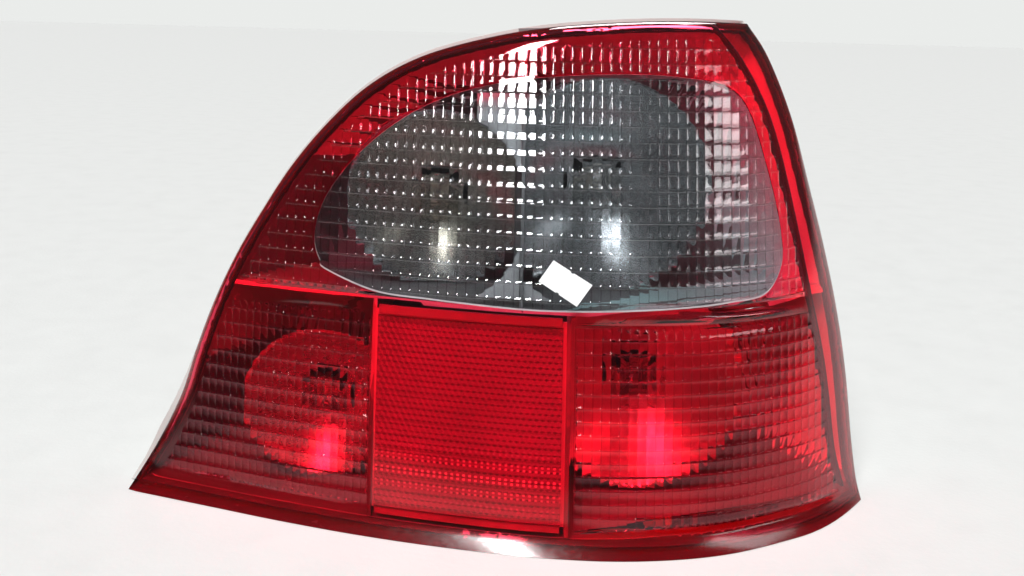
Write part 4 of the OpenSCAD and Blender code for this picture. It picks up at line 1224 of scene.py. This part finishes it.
def end_wall_shade_strip():
    """A black strip at the edge of the housing's end wall, which shows through the lens beside its right edge as a dark
    line; its black is painted shade of the wall.
    """
    line = DARK_LINE[::2]
    verts, faces = [], []
    for k, (x, z) in enumerate(line):
        y = float(face(x, z)) + LENS_T
        verts += [(x - 1.1, y + 0.25, z), (x + 1.1, y + 0.25, z), (x + 1.1, y + 7, z), (x - 1.1, y + 7, z)]
    for k in range(len(line) - 1):
        for e in range(4):
            a, b = 4 * k + e, 4 * k + (e + 1) % 4
            faces.append((a, b, b + 4, a + 4))
    faces += [(0, 1, 2, 3), tuple(4 * (len(line) - 1) + k for k in (3, 2, 1, 0))]
    # Painted shade: a black strip where the end wall lies in shadow.
    o = build("end_wall_shade_edge", metres(np.array(verts)), faces, [black_mat], angle=40)
    outward(o)
    return o


settle(end_wall_shade_strip(), "carrier_black")


def sticker():
    """A small blank paper sticker with the two notches of its cutting line."""
    c = np.array([[205, 119.4], [222.9, 109], [230, 118.7], [211.8, 129]])
    nu, nv = 44, 24
    verts, faces = [], []
    keep = {}
    for v in range(nv + 1):
        for u in range(nu + 1):
            a, b = c[0] + (c[1] - c[0]) * u / nu, c[3] + (c[2] - c[3]) * u / nu
            q = a + (b - a) * v / nv
            keep[(u, v)] = len(verts)
            lift = 0.12 + 0.10 * max(0.0, (u / nu - 0.9)) * 10 * (v / nv) + 0.02 * math.sin(u * 0.7) * math.sin(v * 0.5)
            verts.append((q[0], float(face(q[0], q[1])) - lift, q[1]))
    n = len(verts)
    verts += [(x, y + 0.08, z) for x, y, z in verts]
    cut = {(21, 0), (22, 0), (21, nv - 1), (22, nv - 1), (20, 0), (20, nv - 1)}
    used = [(u, v) for v in range(nv) for u in range(nu) if (u, v) not in cut]
    edges = {}
    for u, v in used:
        q = [keep[(u, v)], keep[(u + 1, v)], keep[(u + 1, v + 1)], keep[(u, v + 1)]]
        faces.append(tuple(q))
        faces.append(tuple(k + n for k in q[::-1]))
        for a, b in zip(q, q[1:] + q[:1]):
            edges[(a, b)] = True
    for a, b in list(edges):
        if (b, a) not in edges:
            faces.append((b, a, a + n, b + n))
    o = build("price_label_blank", metres(np.array(verts)), faces, [paper_mat], angle=50)
    import bmesh
    bm = bmesh.new()
    bm.from_mesh(o.data)
    bmesh.ops.delete(bm, geom=[q for q in bm.verts if not q.link_faces], context="VERTS")
    bm.to_mesh(o.data)
    bm.free()
    outward(o)
    mark_angle(o.data, 50)
    return o


settle(sticker(), "paper", "label")


def threaded_studs():
    """Three studs with a rolled M6 thread, a plain foot and a chamfered end."""
    verts, faces = [], []
    for x0, z0 in ((196, 185), (100, 94), (316, 72)):
        n0 = len(verts)
        seg, per = 40, 16
        y1, y2 = BACK_Y + 1.6, BACK_Y + 1.5 + 22
        steps = int((y2 - y1 - 3.0) * per)
        ys = [(BACK_Y - 9.4, 4.9), (BACK_Y - 6.6, 4.9), (BACK_Y - 6.5, 3.95), (BACK_Y + 1.45, 3.95), (BACK_Y + 1.5, 2.6)]
        rows = [(y, r, False) for y, r in ys]
        rows += [(y1 + 1.4 + k / per, 3.0, True) for k in range(steps)]
        rows += [(y2 - 1.2, 2.6, False), (y2 - 0.02, 1.9, False)]
        for y, r, thread in rows:
            for k in range(seg):
                a = 2 * math.pi * k / seg
                rr = r
                if thread:
                    t = ((y - a / (2 * math.pi)) % 1.0)
                    rr = 2.42 + 0.57 * (1 - abs(2 * t - 1)) ** 0.8
                    fade = min(1.0, (y - y1 - 1.2) / 1.0, (y2 - 1.3 - y) / 0.8)
                    rr = 2.55 * (1 - max(0, fade)) + rr * max(0, fade)
                verts.append((x0 + rr * math.cos(a), y, z0 + rr * math.sin(a)))
        m = len(rows)
        for i in range(m - 1):
            for k in range(seg):
                j = (k + 1) % seg
                a = n0 + i * seg
                faces.append((a + k, a + j, a + seg + j, a + seg + k))
        faces.append(tuple(n0 + k for k in range(seg)))
        faces.append(tuple(n0 + (m - 1) * seg + k for k in range(seg))[::-1])
    o = build("threaded_studs", metres(np.array(verts)), faces, [zinc_mat])
    outward(o)
    mark_angle(o.data, 35)
    return o


settle(threaded_studs(), "zinc_steel", "mounting_studs")

for node, mat in (("reflex_backing", backing_mat), ("carrier_seal", rubber_mat), ("body_gasket", foam_mat), ("breather", rubber_mat),
                  ("ground_rail", rail_mat), ("indicator_feed_rail", rail_mat), ("reverse_feed_rail", rail_mat),
                  ("stop_feed_rail", rail_mat), ("tail_feed_rail", rail_mat), ("fog_feed_rail", rail_mat)):
    NODES[node].data.materials.clear()
    NODES[node].data.materials.append(mat)
settle(copy_of("bulb_carrier", "lamp_carrier", [black_mat]), "carrier_black", "bulb_carrier")

# ---------------------------------------------------------------- stage and light
floor_mat = plastic("pale_floor", (0.775, 0.785, 0.77), 0.62, 0.0002, 300, 0.03)


def stage_floor():
    """A pale floor that runs far out on all sides."""
    line = [-20, -8, -3, -1.2, -0.5, 0, 0.5, 1.2, 3, 8, 20]
    verts = [(x, y, -0.0002) for x in line for y in line]
    n = len(line)
    faces = [(i * n + k, (i + 1) * n + k, (i + 1) * n + k + 1, i * n + k + 1) for i in range(n - 1) for k in range(n - 1)]
    build("floor", verts, faces, [floor_mat])


stage_floor()


def area(name, at, aim, size, power, colour=(1, 1, 1), roll=0.0):
    d = bpy.data.lights.new(name, "AREA")
    d.shape, d.size, d.size_y, d.energy, d.color = "RECTANGLE", size[0], size[1], power, colour
    o = bpy.data.objects.new(name, d)
    bpy.context.scene.collection.objects.link(o)
    o.location = at
    o.rotation_euler = (Vector(aim) - Vector(at)).to_track_quat("-Z", "Y").to_euler()
    o.rotation_euler.rotate_axis("Z", roll)
    return o


def direction(az, el):
    a, e = math.radians(az), math.radians(el)
    return Vector((math.sin(a) * math.cos(e), -math.cos(a) * math.cos(e), math.sin(e)))


def group(name, state):
    """A set that holds the floor alone, for a light that shines only on it or on everything else."""
    c = bpy.data.collections.new(name)
    c.objects.link(bpy.data.objects["floor"])
    c.collection_objects[0].light_linking.link_state = state
    return c


TARGET = Vector((0, -0.03, 0.15))
others = group("all_but_floor", "EXCLUDE")
for lamp in (area("ceiling_lamp", TARGET + direction(-21.5, 52) * 2.2, TARGET, (0.27, 0.95), 50),
             area("soft_right", TARGET + direction(62, 31) * 2.2, TARGET, (1.0, 0.5), 9),
             area("soft_back", TARGET + direction(165, 48) * 2.6, TARGET, (1.2, 1.0), 42)):
    lamp.light_linking.receiver_collection = others
sun_data = bpy.data.lights.new("floor_light", "SUN")
sun_data.energy, sun_data.angle = 3.87, math.radians(30)
sun = bpy.data.objects.new("floor_light", sun_data)
bpy.context.scene.collection.objects.link(sun)
sun.rotation_euler = (-direction(-21, 60)).to_track_quat("-Z", "Y").to_euler()
sun.light_linking.receiver_collection = group("floor_alone", "INCLUDE")

world = bpy.data.worlds.new("room")
bpy.context.scene.world = world
world.use_nodes = True
wn = world.node_tree
bg = wn.nodes["Background"]
tc = wn.nodes.new("ShaderNodeTexCoord")
sep = wn.nodes.new("ShaderNodeSeparateXYZ")
wn.links.new(tc.outputs["Generated"], sep.inputs[0])
rmp = wn.nodes.new("ShaderNodeValToRGB")
wn.links.new(sep.outputs["Z"], rmp.inputs[0])
el = rmp.color_ramp.elements
el[0].position, el[0].color = 0.035, (0.825, 0.84, 0.825, 1)
el[1].position, el[1].color = 0.11, (0.08, 0.08, 0.084, 1)
for where, tone in ((0.80, 0.08), (0.98, 0.13)):
    stop = el.new(where)
    stop.color = (tone, tone, tone * 1.05, 1)
wn.links.new(rmp.outputs[0], bg.inputs["Color"])
bg.inputs["Strength"].default_value = 1.0

bpy.context.scene.view_settings.view_transform = "Standard"
